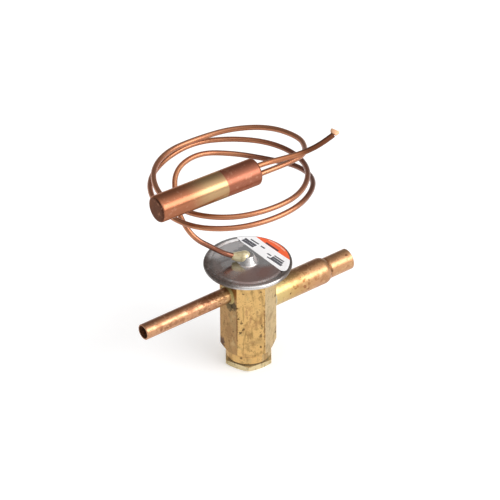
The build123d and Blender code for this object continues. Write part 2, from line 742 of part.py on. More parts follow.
def charging_tube():
    """Short filling tube, bent away from the bulb and pinched flat to seal the charge."""
    points = charging_route()
    tube = tube_on(points, CHARGE_R, CAPILLARY_BORE_R)
    end = points[-1]
    run = end - points[-2]
    round_end = Plane(end, x_dir=PINCH_ACROSS, z_dir=run) * Circle(CHARGE_R)
    flat_at = end + Vector(*PINCH_AXIS).normalized() * PINCH_LENGTH
    flat_end = Plane(flat_at, x_dir=PINCH_ACROSS, z_dir=PINCH_AXIS) * Rectangle(PINCH_WIDTH, PINCH_THICK)
    return tube + loft([round_end, flat_end])


def inlet_braze():
    """Golden braze round the inlet stub, fillet outside and film under it."""
    return fillet_ring(INLET_R, INLET_SPIGOT_R, -HALF_AF, -1, INLET_Z, INLET_FILLET)


def outlet_braze():
    """Pale ring of braze round the outlet stub, fillet outside and film under it."""
    return fillet_ring(OUTLET_R, OUTLET_SPIGOT_R, HALF_AF, 1, OUTLET_Z, OUTLET_FILLET)


def build():
    """All the nodes by name."""
    nodes = {
        "valve_body": valve_body(),
        "bottom_plug": bottom_plug(),
        "plug_seal_ring": plug_seal_ring(),
        "spring_retainer": spring_retainer(),
        "closing_spring": closing_spring(),
        "seat_insert": seat_insert(),
        "valve_pin": valve_pin(),
        "pin_carrier": pin_carrier(),
        "push_rod_front": push_rod(-1),
        "push_rod_back": push_rod(1),
        "buffer_plate": buffer_plate(),
        "diaphragm": diaphragm(),
        "head_lower_shell": head_lower_shell(),
        "head_upper_shell": head_upper_shell(),
        "head_label": head_label(),
        "inlet_tube": inlet_tube(),
        "inlet_braze": inlet_braze(),
        "inlet_strainer": inlet_strainer(),
        "outlet_tube": outlet_tube(),
        "outlet_braze": outlet_braze(),
        "capillary_tube": capillary_tube(),
        "capillary_braze": capillary_braze(),
        "sensing_bulb": sensing_bulb(),
        "bulb_end_cap": bulb_end_cap(),
        "bulb_braze": bulb_braze(),
        "charging_tube": charging_tube(),
    }
    return nodes


if __name__ == "__main__":
    os.makedirs("parts", exist_ok=True)
    for name, shape in build().items():
        export_step(shape, f"parts/{name}.step")
    for name, route in (("capillary_tube", capillary_route()), ("charging_tube", charging_route())):
        print(name, "bend radii in mm:", ", ".join(f"{radius:.1f}" for radius in bends(route)))
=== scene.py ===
"""Finishes, smooth tubes, braze and studio for the refrigerant expansion valve."""

import logging
import math
from dataclasses import dataclass, field
from enum import Enum
from typing import Iterable, Iterator, Sequence

import bpy
from mathutils import Matrix, Vector


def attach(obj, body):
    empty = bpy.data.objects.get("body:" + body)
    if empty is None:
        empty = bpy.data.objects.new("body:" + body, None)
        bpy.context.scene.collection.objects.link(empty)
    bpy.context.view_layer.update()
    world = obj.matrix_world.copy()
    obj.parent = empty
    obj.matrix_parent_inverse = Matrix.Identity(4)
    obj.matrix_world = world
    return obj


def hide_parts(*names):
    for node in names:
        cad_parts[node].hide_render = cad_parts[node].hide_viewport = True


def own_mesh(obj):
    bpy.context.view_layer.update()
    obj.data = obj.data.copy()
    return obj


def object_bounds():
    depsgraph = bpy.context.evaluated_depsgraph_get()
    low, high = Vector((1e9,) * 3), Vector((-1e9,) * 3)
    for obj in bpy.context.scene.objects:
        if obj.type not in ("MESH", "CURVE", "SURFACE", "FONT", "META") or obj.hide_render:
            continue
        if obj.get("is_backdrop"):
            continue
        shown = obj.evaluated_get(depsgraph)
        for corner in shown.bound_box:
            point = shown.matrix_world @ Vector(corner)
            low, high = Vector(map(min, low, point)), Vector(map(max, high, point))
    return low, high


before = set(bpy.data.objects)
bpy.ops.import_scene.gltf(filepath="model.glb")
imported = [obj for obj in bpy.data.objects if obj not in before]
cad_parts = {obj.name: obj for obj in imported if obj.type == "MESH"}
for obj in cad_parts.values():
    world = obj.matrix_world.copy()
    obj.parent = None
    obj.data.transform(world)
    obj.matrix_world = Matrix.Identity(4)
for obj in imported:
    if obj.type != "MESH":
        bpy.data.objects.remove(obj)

Colour = tuple[float, float, float]
Point = tuple[float, float, float]

MM = 0.001

FIXED_BODY = "valve"

# Colour sockets of a Mix node.
MIX_FIRST, MIX_SECOND, MIX_RESULT = 6, 7, 2

# Shared by all metals: roughness values, and fine lines per metre.
COAT_ROUGHNESS = 0.2
PIT_ROUGHENS = 0.25
BLOT_ROUGHENS = 0.2
LINE_SCALE = 1500.0

# Meshes: steps between two points of a route, roundness of the tube, degrees, and metres.
TUBE_STEPS = 12
TUBE_ROUNDNESS = 7
TUBE_SMOOTH_ANGLE = 50.0
MERGE_DISTANCE = 0.00001

cad_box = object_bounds()
log = logging.getLogger("expansion_valve")


class Axis(Enum):
    """Direction along which a drawn or turned surface keeps its fine lines."""

    NONE = (1.0, 1.0, 1.0)
    ALONG_X = (0.04, 1.0, 1.0)


def mm(point: Sequence[float]) -> Vector:
    """Point in millimetres as a vector in metres."""
    return Vector(point) * MM


def deselect() -> None:
    """Leaves edit mode and clears the selection."""
    if bpy.context.object is not None and bpy.context.object.mode != "OBJECT":
        bpy.ops.object.mode_set(mode="OBJECT")
    bpy.ops.object.select_all(action="DESELECT")


def pick(*pieces: bpy.types.Object) -> None:
    """Selects only these objects and makes the first one active.

    Args:
        *pieces: The objects to work on.
    """
    deselect()
    for piece in pieces:
        piece.select_set(True)
    bpy.context.view_layer.objects.active = pieces[0]


def settle(piece: bpy.types.Object) -> None:
    """Puts a piece's place, turn and scale into its mesh."""
    pick(piece)
    bpy.ops.object.transform_apply(location=True, rotation=True, scale=True)


def apply_modifiers(piece: bpy.types.Object) -> None:
    """Applies every modifier of a piece in order.

    Args:
        piece: The object with modifiers.
    """
    pick(piece)
    for modifier in list(piece.modifiers):
        bpy.ops.object.modifier_apply(modifier=modifier.name)


def close_and_face_out(piece: bpy.types.Object) -> None:
    """Merges doubles and turns the faces outwards.

    Args:
        piece: The mesh object.
    """
    pick(piece)
    bpy.ops.object.mode_set(mode="EDIT")
    bpy.ops.mesh.select_all(action="SELECT")
    bpy.ops.mesh.remove_doubles(threshold=MERGE_DISTANCE)
    bpy.ops.mesh.normals_make_consistent(inside=False)
    bpy.ops.object.mode_set(mode="OBJECT")


def link(thing: bpy.types.Object) -> bpy.types.Object:
    """Adds a new object to the scene and gives it back."""
    bpy.context.scene.collection.objects.link(thing)
    return thing


def basis(x_axis: Vector, z_axis: Vector) -> Matrix:
    """Turn whose X and Z axes follow two directions.

    Args:
        x_axis: Direction near the local X axis.
        z_axis: Direction of the local Z axis.

    Returns:
        The rotation as a 4x4 matrix.
    """
    z_axis = z_axis.normalized()
    x_axis = (x_axis - z_axis * x_axis.dot(z_axis)).normalized()
    return Matrix((x_axis, z_axis.cross(x_axis), z_axis)).transposed().to_4x4()


class Graph:
    """Adds and wires nodes in one shader tree."""

    def __init__(self, tree: bpy.types.NodeTree) -> None:
        """Keeps the material's, group's or world's tree."""
        self.tree = tree

    def add(self, kind: str, **settings: object) -> bpy.types.Node:
        """New node with its properties set.

        Args:
            kind: Node type without the ShaderNode prefix.
            **settings: Property names and values.

        Returns:
            The node.
        """
        node = self.tree.nodes.new("ShaderNode" + kind)
        for name, value in settings.items():
            setattr(node, name, value)
        return node

    def feed(self, socket: bpy.types.NodeSocket, value: object) -> None:
        """Links a socket to another, or sets its value.

        Args:
            socket: The input.
            value: An output socket, or a plain value.
        """
        if isinstance(value, bpy.types.NodeSocket):
            self.tree.links.new(value, socket)
            return
        if hasattr(value, "__len__") and len(value) == 3 and len(socket.default_value) == 4:
            value = (*value, 1.0)
        socket.default_value = value

    def maths(self, operation: str, *values: object, clamp: bool = False) -> bpy.types.NodeSocket:
        """Result of a math node.

        Args:
            operation: The node's operation.
            *values: Its inputs, sockets or numbers.
            clamp: Whether the result is kept between 0 and 1.

        Returns:
            The output socket.
        """
        node = self.add("Math", operation=operation, use_clamp=clamp)
        for socket, value in zip(node.inputs, values):
            self.feed(socket, value)
        return node.outputs[0]

    def vector_maths(self, operation: str, *values: object) -> bpy.types.Node:
        """Vector math node with its inputs fed.

        Args:
            operation: The node's operation.
            *values: Its inputs, sockets or vectors.

        Returns:
            The node.
        """
        node = self.add("VectorMath", operation=operation)
        for socket, value in zip(node.inputs, values):
            self.feed(socket, value)
        return node

    def blend(self, factor: object, first: object, second: object) -> bpy.types.NodeSocket:
        """Mix of two colours.

        Args:
            factor: Share of the second colour.
            first: Colour at 0.
            second: Colour at 1.

        Returns:
            The colour socket.
        """
        node = self.add("Mix", data_type="RGBA")
        self.feed(node.inputs[0], factor)
        self.feed(node.inputs[MIX_FIRST], first)
        self.feed(node.inputs[MIX_SECOND], second)
        return node.outputs[MIX_RESULT]

    def steps(self, value: object, low: object, high: object) -> bpy.types.NodeSocket:
        """Smooth step of a value between two limits.

        Args:
            value: The socket that is read.
            low: Value that gives 0.
            high: Value that gives 1.

        Returns:
            The mask socket.
        """
        node = self.add("MapRange", interpolation_type="SMOOTHSTEP")
        self.feed(node.inputs[0], value)
        self.feed(node.inputs[1], low)
        self.feed(node.inputs[2], high)
        return node.outputs[0]

    def noise(self, place: object, scale: object, detail: float = 3.0) -> bpy.types.NodeSocket:
        """Noise value at a place.

        Args:
            place: The coordinate socket.
            scale: Cells per metre.
            detail: Octaves.

        Returns:
            The value socket.
        """
        node = self.add("TexNoise")
        self.feed(node.inputs["Vector"], place)
        self.feed(node.inputs["Scale"], scale)
        node.inputs["Detail"].default_value = detail
        return node.outputs[0]

    def place(self) -> bpy.types.NodeSocket:
        """Object coordinates of the point that is shaded."""
        return self.add("TexCoord").outputs["Object"]

    def group(self, tree: bpy.types.NodeTree, **values: object) -> bpy.types.NodeSocket:
        """Places a shared group and gives its first output.

        Args:
            tree: The group's tree.
            **values: Input names, with underscores for spaces, and values.

        Returns:
            The first output socket.
        """
        node = self.add("Group", node_tree=tree)
        for name, value in values.items():
            self.feed(node.inputs[name.replace("_", " ")], value)
        return node.outputs[0]

    def bump(
        self,
        height: bpy.types.NodeSocket,
        depth: float,
        strength: float = 1.0,
        under: bpy.types.NodeSocket | None = None,
    ) -> bpy.types.NodeSocket:
        """Normal of an uneven surface.

        Args:
            height: The height socket.
            depth: Millimetres between the lowest and the highest place.
            strength: Share of the effect.
            under: Normal of the relief below this one.

        Returns:
            The normal socket.
        """
        node = self.add("Bump")
        node.inputs["Strength"].default_value = strength
        node.inputs["Distance"].default_value = depth * MM
        self.feed(node.inputs["Height"], height)
        if under is not None:
            self.feed(node.inputs["Normal"], under)
        return node.outputs[0]


def new_material(name: str) -> tuple[bpy.types.Material, Graph, bpy.types.Node]:
    """Empty node material.

    Args:
        name: The material's name.

    Returns:
        The material, its graph and its principled shader.
    """
    material = bpy.data.materials.new(name)
    material.use_nodes = True
    return material, Graph(material.node_tree), material.node_tree.nodes["Principled BSDF"]


class SurfaceEffects:
    """Shared shader groups for tarnish, pits, blots, streaks and print. Scales are cells per metre."""

    CLOUD_DETAIL = 4.0
    PIT_WARP_SCALE = 900.0
    PIT_WARP_REACH = (0.0012, 0.0012, 0.0012)
    PIT_LEAST_DEPTH = 0.3
    BLOT_EDGE_SCALE = 700.0
    BLOT_EDGE_DETAIL = 4.0
    BLOT_EDGE_GAIN = 3.0
    SPAN_EDGE_SCALE = 260.0
    SPAN_EDGE_DETAIL = 2.0

    def __init__(self) -> None:
        """Builds every group once."""
        self.patches = self._patches()
        self.pits = self._pits()
        self.blot = self._blot()
        self.streaks = self._streaks()
        self.span = self._span()
        self.bar = self._bar()

    @staticmethod
    def _new(
        name: str, inputs: dict[str, tuple[str, object]], output: str
    ) -> tuple[Graph, dict[str, bpy.types.NodeSocket], bpy.types.NodeSocket]:
        """Empty group with named sockets.

        Args:
            name: The group's name.
            inputs: Socket name to type and default.
            output: Name of the float output.

        Returns:
            The graph, its input sockets by name and the output socket to feed.
        """
        tree = bpy.data.node_groups.new(name, "ShaderNodeTree")
        for label, (kind, default) in inputs.items():
            socket_type = "NodeSocket" + kind
            socket = tree.interface.new_socket(name=label, in_out="INPUT", socket_type=socket_type)
            socket.default_value = default
        tree.interface.new_socket(name=output, in_out="OUTPUT", socket_type="NodeSocketFloat")
        start = tree.nodes.new("NodeGroupInput")
        end = tree.nodes.new("NodeGroupOutput")
        return Graph(tree), {label: start.outputs[label] for label in inputs}, end.inputs[0]

    def _patches(self) -> bpy.types.NodeTree:
        """Cloudy patches of tarnish.

        Returns:
            The group's tree.
        """
        graph, given, out = self._new(
            "Cloudy patches",
            {
                "Stretch": ("Vector", (1.0, 1.0, 1.0)),
                "Scale": ("Float", 60.0),
                "Low": ("Float", 0.45),
                "High": ("Float", 0.65),
            },
            "Mask",
        )
        stretched = graph.vector_maths("MULTIPLY", graph.place(), given["Stretch"]).outputs[0]
        clouds = graph.noise(stretched, given["Scale"], self.CLOUD_DETAIL)
        graph.feed(out, graph.steps(clouds, given["Low"], given["High"]))
        return graph.tree

    def _pits(self) -> bpy.types.NodeTree:
        """Scattered small dark pits.

        Returns:
            The group's tree.
        """
        graph, given, out = self._new(
            "Scattered pits",
            {"Scale": ("Float", 400.0), "Size": ("Float", 0.25), "Share": ("Float", 0.15)},
            "Mask",
        )
        place = graph.place()
        warp = graph.add("TexNoise")
        graph.feed(warp.inputs["Vector"], place)
        warp.inputs["Scale"].default_value = self.PIT_WARP_SCALE
        warped = graph.vector_maths("MULTIPLY_ADD", warp.outputs["Color"], self.PIT_WARP_REACH, place)
        cells = graph.add("TexVoronoi")
        graph.feed(cells.inputs["Vector"], warped.outputs[0])
        graph.feed(cells.inputs["Scale"], given["Scale"])
        near = graph.maths("LESS_THAN", cells.outputs["Distance"], given["Size"])
        parts = graph.add("SeparateColor")
        graph.feed(parts.inputs[0], cells.outputs["Color"])
        chosen = graph.maths("LESS_THAN", parts.outputs[0], given["Share"])
        depth = graph.maths("ADD", parts.outputs[1], self.PIT_LEAST_DEPTH, clamp=True)
        graph.feed(out, graph.maths("MULTIPLY", graph.maths("MULTIPLY", near, chosen), depth))
        return graph.tree

    def _blot(self) -> bpy.types.NodeTree:
        """One ragged blot at a place.

        Returns:
            The group's tree.
        """
        graph, given, out = self._new(
            "Ragged blot",
            {
                "Centre": ("Vector", (0.0, 0.0, 0.0)),
                "Spread": ("Vector", (1.0, 1.0, 1.0)),
                "Radius": ("Float", 0.002),
                "Ragged": ("Float", 0.5),
            },
            "Mask",
        )
        place = graph.place()
        offset = graph.vector_maths("SUBTRACT", place, given["Centre"]).outputs[0]
        spread = graph.vector_maths("DIVIDE", offset, given["Spread"]).outputs[0]
        length = graph.vector_maths("LENGTH", spread).outputs["Value"]
        reach = graph.maths("DIVIDE", length, given["Radius"])
        noise = graph.noise(place, self.BLOT_EDGE_SCALE, self.BLOT_EDGE_DETAIL)
        wander = graph.maths("MULTIPLY", graph.maths("SUBTRACT", noise, 0.5), self.BLOT_EDGE_GAIN)
        edge = graph.maths("MULTIPLY_ADD", wander, given["Ragged"], reach)
        graph.feed(out, graph.maths("SUBTRACT", 1.0, graph.steps(edge, 0.5, 1.0)))
        return graph.tree

    def _streaks(self) -> bpy.types.NodeTree:
        """Fine parallel drawing lines, or an even grain.

        Returns:
            The group's tree.
        """
        graph, given, out = self._new(
            "Fine streaks",
            {"Stretch": ("Vector", (0.04, 1.0, 1.0)), "Scale": ("Float", 1500.0)},
            "Height",
        )
        stretched = graph.vector_maths("MULTIPLY", graph.place(), given["Stretch"]).outputs[0]
        graph.feed(out, graph.noise(stretched, given["Scale"]))
        return graph.tree

    def _span(self) -> bpy.types.NodeTree:
        """Mask that is 1 past a place along a direction.

        Returns:
            The group's tree.
        """
        graph, given, out = self._new(
            "Past a line",
            {
                "Start": ("Vector", (0.0, 0.0, 0.0)),
                "Direction": ("Vector", (1.0, 0.0, 0.0)),
                "Softness": ("Float", 0.002),
                "Ragged": ("Float", 0.0),
            },
            "Mask",
        )
        place = graph.place()
        offset = graph.vector_maths("SUBTRACT", place, given["Start"]).outputs[0]
        along = graph.vector_maths("DOT_PRODUCT", offset, given["Direction"]).outputs["Value"]
        noise = graph.noise(place, self.SPAN_EDGE_SCALE, self.SPAN_EDGE_DETAIL)
        wander = graph.maths("SUBTRACT", noise, 0.5)
        reach = graph.maths("MULTIPLY_ADD", wander, given["Ragged"], along)
        graph.feed(out, graph.steps(graph.maths("DIVIDE", reach, given["Softness"]), -0.5, 0.5))
        return graph.tree

    def _bar(self) -> bpy.types.NodeTree:
        """Mask of one printed bar on a flat face.

        Returns:
            The group's tree.
        """
        graph, given, out = self._new(
            "Printed bar",
            {
                "Centre": ("Vector", (0.0, 0.0, 0.0)),
                "Turn": ("Float", 0.0),
                "Half length": ("Float", 0.002),
                "Half height": ("Float", 0.0005),
            },
            "Mask",
        )
        offset = graph.vector_maths("SUBTRACT", graph.place(), given["Centre"]).outputs[0]
        turned = graph.add("VectorRotate", rotation_type="Z_AXIS")
        graph.feed(turned.inputs["Vector"], offset)
        graph.feed(turned.inputs["Angle"], given["Turn"])
        parts = graph.add("SeparateXYZ")
        graph.feed(parts.inputs[0], turned.outputs[0])
        inside = [
            graph.maths("LESS_THAN", graph.maths("ABSOLUTE", parts.outputs[axis]), given[half])
            for axis, half in enumerate(("Half length", "Half height"))
        ]
        graph.feed(out, graph.maths("MULTIPLY", *inside))
        return graph.tree


@dataclass(frozen=True)
class Layer:
    """Cloudy cover of another colour, with the noise levels at which it starts and is full."""

    colour: Colour
    scale: float
    low: float
    high: float
    strength: float
    roughness: float = 0.1
    stretch: Point = (1.0, 1.0, 1.0)


@dataclass(frozen=True)
class Blot:
    """One patch at a place, in millimetres, in the finish's stain colour or its own: mostly stains, and
    on the head painted reflections.
    """

    centre: Point
    radius: float
    spread: Point = (1.0, 1.0, 1.0)
    ragged: float = 0.6
    strength: float = 0.9
    colour: Colour | None = None


@dataclass(frozen=True)
class Zone:
    """Stretch of another colour past a line across the piece, in millimetres."""

    start: Point
    direction: Point
    colour: Colour
    softness: float = 2.0
    ragged: float = 0.0
    strength: float = 1.0
    roughness: float = 0.0


@dataclass(frozen=True)
class MetalFinish:
    """A worn metal: base colour, zones, layers of tarnish, pits, stains and fine lines; some zones and
    blots are painted shade and reflections.
    """

    name: str
    base: Colour
    roughness: float
    stain: Colour = (0.1, 0.06, 0.03)
    metallic: float = 1.0
    coat: float = 0.0
    edge_tint: Colour = (1.0, 1.0, 1.0)
    zones: tuple[Zone, ...] = ()
    layers: tuple[Layer, ...] = ()
    pit_scale: float = 500.0
    pit_size: float = 0.28
    pit_share: float = 0.0
    blots: tuple[Blot, ...] = ()
    lines: Axis = Axis.NONE
    line_depth: float = 0.0
    ripple_depth: float = 0.0
    ripple_scale: float = 220.0

    def material(self, effects: SurfaceEffects) -> bpy.types.Material:
        """Builds the node material.

        Args:
            effects: The shared shader groups.

        Returns:
            The material.
        """
        material, graph, shader = new_material(self.name)
        shader.inputs["Metallic"].default_value = self.metallic
        shader.inputs["Coat Weight"].default_value = self.coat
        shader.inputs["Coat Roughness"].default_value = COAT_ROUGHNESS
        shader.inputs["Specular Tint"].default_value = (*self.edge_tint, 1.0)
        colour, rough = self.base, self.roughness
        for mask, strength, over, rougher in self._covers(graph, effects):
            mask = graph.maths("MULTIPLY", mask, strength)
            if rougher:
                rough = graph.maths("MULTIPLY_ADD", mask, rougher, rough)
            colour = graph.blend(mask, colour, over)
        graph.feed(shader.inputs["Base Color"], colour)
        graph.feed(shader.inputs["Roughness"], rough)
        self._relief(graph, shader, effects)
        return material

    def _covers(
        self, graph: Graph, effects: SurfaceEffects
    ) -> Iterator[tuple[bpy.types.NodeSocket, float, Colour, float]]:
        """Goes through all that lies over the bare metal, from the bottom up.

        Args:
            graph: The material's graph.
            effects: The shared shader groups.

        Returns:
            Mask, strength, colour and added roughness of each cover.
        """
        for zone in self.zones:
            mask = graph.group(
                effects.span,
                Start=mm(zone.start),
                Direction=Vector(zone.direction).normalized(),
                Softness=zone.softness * MM,
                Ragged=zone.ragged * MM,
            )
            yield mask, zone.strength, zone.colour, zone.roughness
        for layer in self.layers:
            mask = graph.group(
                effects.patches, Stretch=layer.stretch, Scale=layer.scale, Low=layer.low, High=layer.high
            )
            yield mask, layer.strength, layer.colour, layer.roughness
        if self.pit_share > 0:
            mask = graph.group(
                effects.pits, Scale=self.pit_scale, Size=self.pit_size, Share=self.pit_share
            )
            yield mask, 1.0, self.stain, PIT_ROUGHENS
        for blot in self.blots:
            mask = graph.group(
                effects.blot,
                Centre=mm(blot.centre),
                Spread=blot.spread,
                Radius=blot.radius * MM,
                Ragged=blot.ragged,
            )
            yield mask, blot.strength, blot.colour or self.stain, BLOT_ROUGHENS

    def _relief(self, graph: Graph, shader: bpy.types.Node, effects: SurfaceEffects) -> None:
        """Adds the fine lines and the soft ripple as bump.

        Args:
            graph: The material's graph.
            shader: Its principled shader.
            effects: The shared shader groups.
        """
        normal = None
        reliefs = (
            (self.line_depth, LINE_SCALE, self.lines),
            (self.ripple_depth, self.ripple_scale, Axis.NONE),
        )
        for depth, scale, lines in reliefs:
            if depth > 0:
                height = graph.group(effects.streaks, Stretch=lines.value, Scale=scale)
                normal = graph.bump(height, depth, under=normal)
        if normal is not None:
            graph.feed(shader.inputs["Normal"], normal)


# Painted dark reflections round the head's rim, on its left and right as the camera sees it: degrees,
# and millimetres.
RIM_DARK_REFLECTION_ANGLES = (112, 142, 172, 200, -66, -38, -10)
RIM_DARK_REFLECTION_R = 33.0
RIM_DARK_REFLECTION_Z = 67.0

BODY_BRASS = MetalFinish(
    name="aged_brass_bar",
    base=(0.68, 0.435, 0.17),
    roughness=0.42,
    stain=(0.09, 0.06, 0.035),
    zones=(
        # Painted shade darkens the left face; painted light makes the right face paler.
        Zone((-14.24, 0.0, 30.0), (-1.0, 0.0, 0.0), (0.42, 0.24, 0.09), 0.1, 0.0, 0.92),
        Zone((0.1, 0.0, 30.0), (1.0, 0.0, 0.0), (0.58, 0.435, 0.22), 0.2, 0.0, 0.9),
    ),
    layers=(
        Layer((0.34, 0.23, 0.1), 95.0, 0.5, 0.74, 0.55),
        Layer((0.68, 0.56, 0.28), 140.0, 0.56, 0.78, 0.45, -0.04),
        Layer((0.26, 0.16, 0.06), 280.0, 0.52, 0.68, 0.5, 0.1),
        Layer((0.2, 0.13, 0.05), 420.0, 0.56, 0.7, 0.45, 0.1, (1.0, 1.0, 0.22)),
        Layer((0.18, 0.1, 0.045), 950.0, 0.57, 0.7, 0.55, 0.1),
        Layer((0.36, 0.19, 0.08), 190.0, 0.55, 0.68, 0.45, 0.08, (1.0, 1.0, 0.6)),
    ),
    pit_scale=380.0,
    pit_size=0.3,
    pit_share=0.06,
    blots=(
        Blot((-14.29, -4.6, 46.6), 4.6, (0.6, 1.0, 0.9), 0.45, 0.8, (0.06, 0.05, 0.028)),
        Blot((-14.29, -1.2, 44.0), 4.2, (0.6, 1.0, 1.0), 0.5, 0.7, (0.07, 0.06, 0.03)),
        Blot((-14.29, 3.5, 47.0), 4.0, (0.6, 1.0, 1.0), 0.9, 0.55, (0.1, 0.08, 0.04)),
        Blot((-14.29, -0.5, 25.0), 5.0, (0.6, 1.0, 1.5), 1.0, 0.4, (0.26, 0.14, 0.06)),
        Blot((-14.29, 6.5, 14.0), 3.2, (0.8, 1.0, 1.3), 0.6, 0.75, (0.1, 0.06, 0.06)),
        Blot((-14.3, -8.3, 33.0), 0.75, (1.0, 1.0, 26.0), 0.7, 0.75, (0.2, 0.1, 0.045)),
        Blot((-0.4, -16.4, 33.0), 0.6, (1.0, 1.0, 26.0), 0.9, 0.7, (0.2, 0.11, 0.05)),
        Blot((-11.9, -9.6, 35.6), 0.9, (1.0, 1.0, 1.6), 0.8, 0.75),
        Blot((-12.7, -9.2, 28.5), 1.2, (1.0, 1.0, 1.1), 0.9, 0.8),
        Blot((-11.4, -10.0, 30.6), 0.7, (1.0, 1.0, 1.5), 0.9, 0.65),
        Blot((-2.3, -15.2, 25.4), 0.9, (1.0, 1.0, 2.4), 0.9, 0.7),
        Blot((-1.6, -15.6, 32.0), 0.7, (1.0, 1.0, 3.0), 0.9, 0.6),
        Blot((-2.3, -15.2, 17.6), 0.7, (1.0, 1.0, 1.6), 0.8, 0.75),
        Blot((-11.0, -10.1, 56.3), 0.8, (1.5, 1.0, 0.8), 0.9, 0.7),
        Blot((-2.1, -15.3, 56.8), 0.7, (1.2, 1.0, 1.0), 0.9, 0.6),
        Blot((-9.4, -11.1, 43.0), 1.0, (1.0, 1.0, 4.0), 1.0, 0.5, (0.4, 0.22, 0.11)),
        Blot((-7.4, -12.2, 38.0), 0.9, (1.0, 1.0, 4.6), 1.0, 0.5, (0.4, 0.22, 0.11)),
        Blot((-4.2, -14.1, 41.0), 0.9, (1.0, 1.0, 4.0), 1.0, 0.45, (0.36, 0.22, 0.1)),
        Blot((-4.6, -13.9, 32.5), 0.9, (1.0, 1.0, 3.0), 1.0, 0.45, (0.34, 0.2, 0.09)),
        Blot((-6.5, -12.8, 21.0), 1.4, (1.5, 1.0, 0.9), 1.0, 0.45, (0.34, 0.2, 0.09)),
        Blot((5.5, -13.3, 27.0), 1.6, (1.0, 1.0, 2.4), 1.0, 0.45, (0.3, 0.22, 0.12)),
        Blot((3.4, -14.5, 41.0), 1.4, (1.0, 1.0, 3.0), 1.0, 0.4, (0.3, 0.22, 0.12)),
        Blot((0.0, 0.0, 11.2), 16.5, (1.0, 1.0, 0.03), 0.3, 0.55, (0.3, 0.16, 0.06)),
    ),
    ripple_depth=0.09,
    ripple_scale=420.0,
)
PLUG_BRASS = MetalFinish(
    name="pale_brass_plug",
    base=(0.7, 0.58, 0.34),
    roughness=0.38,
    stain=(0.15, 0.11, 0.06),
    metallic=0.7,
    layers=(
        Layer((0.4, 0.31, 0.14), 180.0, 0.5, 0.7, 0.5),
        Layer((0.24, 0.17, 0.08), 500.0, 0.56, 0.7, 0.5),
    ),
    pit_share=0.05,
    ripple_depth=0.05,
)
INLET_COPPER = MetalFinish(
    name="inlet_copper",
    base=(0.54, 0.285, 0.155),
    roughness=0.34,
    stain=(0.16, 0.07, 0.04),
    metallic=0.95,
    zones=(
        Zone((-23.0, 0.0, 51.7), (1.0, 0.0, 0.0), (0.56, 0.35, 0.15), 13.0, 6.0, 0.85),
        # Painted shade: the tube is darker along its upper side.
        Zone((0.0, 0.6, 54.9), (0.0, 0.5, 0.86), (0.24, 0.1, 0.05), 1.8, 1.2, 0.75),
    ),
    layers=(
        Layer((0.34, 0.15, 0.075), 130.0, 0.5, 0.68, 0.55, 0.1, (1.6, 1.0, 1.0)),
        Layer((0.26, 0.11, 0.055), 360.0, 0.54, 0.66, 0.6, 0.1),
        Layer((0.75, 0.47, 0.28), 260.0, 0.57, 0.7, 0.55, -0.05),
        Layer((0.2, 0.08, 0.04), 900.0, 0.58, 0.68, 0.5, 0.1),
    ),
    pit_scale=520.0,
    pit_size=0.3,
    pit_share=0.09,
    blots=(
        Blot((-64.6, -4.6, 52.7), 2.46, (0.7, 1.0, 1.0), 1.0, 0.75, (0.32, 0.15, 0.08)),
        Blot((-62.0, -4.6, 52.0), 1.74, (1.2, 1.0, 1.0), 1.0, 0.75, (0.3, 0.14, 0.07)),
        Blot((-58.6, -4.6, 52.2), 1.74, (1.4, 1.0, 0.9), 1.0, 0.7, (0.32, 0.15, 0.08)),
        Blot((-54.9, -4.6, 52.4), 1.45, (1.5, 1.0, 0.9), 1.0, 0.7, (0.3, 0.14, 0.07)),
        Blot((-50.3, -4.6, 52.2), 1.59, (1.4, 1.0, 0.8), 1.0, 0.7, (0.3, 0.14, 0.07)),
        Blot((-37.4, -4.7, 51.8), 1.89, (1.4, 1.0, 0.8), 1.0, 0.75, (0.3, 0.14, 0.06)),
        Blot((-32.2, -1.9, 56.1), 2.53, (1.6, 1.0, 1.0), 1.0, 0.75, (0.2, 0.08, 0.04)),
        Blot((-26.4, -1.2, 56.2), 2.76, (1.5, 1.0, 1.0), 1.0, 0.75, (0.24, 0.1, 0.04)),
        Blot((-20.5, -2.6, 55.6), 2.32, (1.2, 1.0, 1.0), 1.0, 0.6, (0.24, 0.12, 0.05)),
        Blot((-23.2, -4.2, 53.9), 1.45, (1.4, 1.0, 1.0), 1.0, 0.6, (0.3, 0.15, 0.06)),
        Blot((-42.0, -3.0, 55.3), 2.32, (2.0, 1.0, 0.8), 1.0, 0.5, (0.28, 0.12, 0.06)),
        Blot((-20.0, -4.4, 49.9), 1.74, (1.5, 1.0, 1.0), 1.0, 0.5, (0.3, 0.16, 0.07)),
    ),
    lines=Axis.ALONG_X,
    line_depth=0.01,
    ripple_depth=0.13,
    ripple_scale=420.0,
)
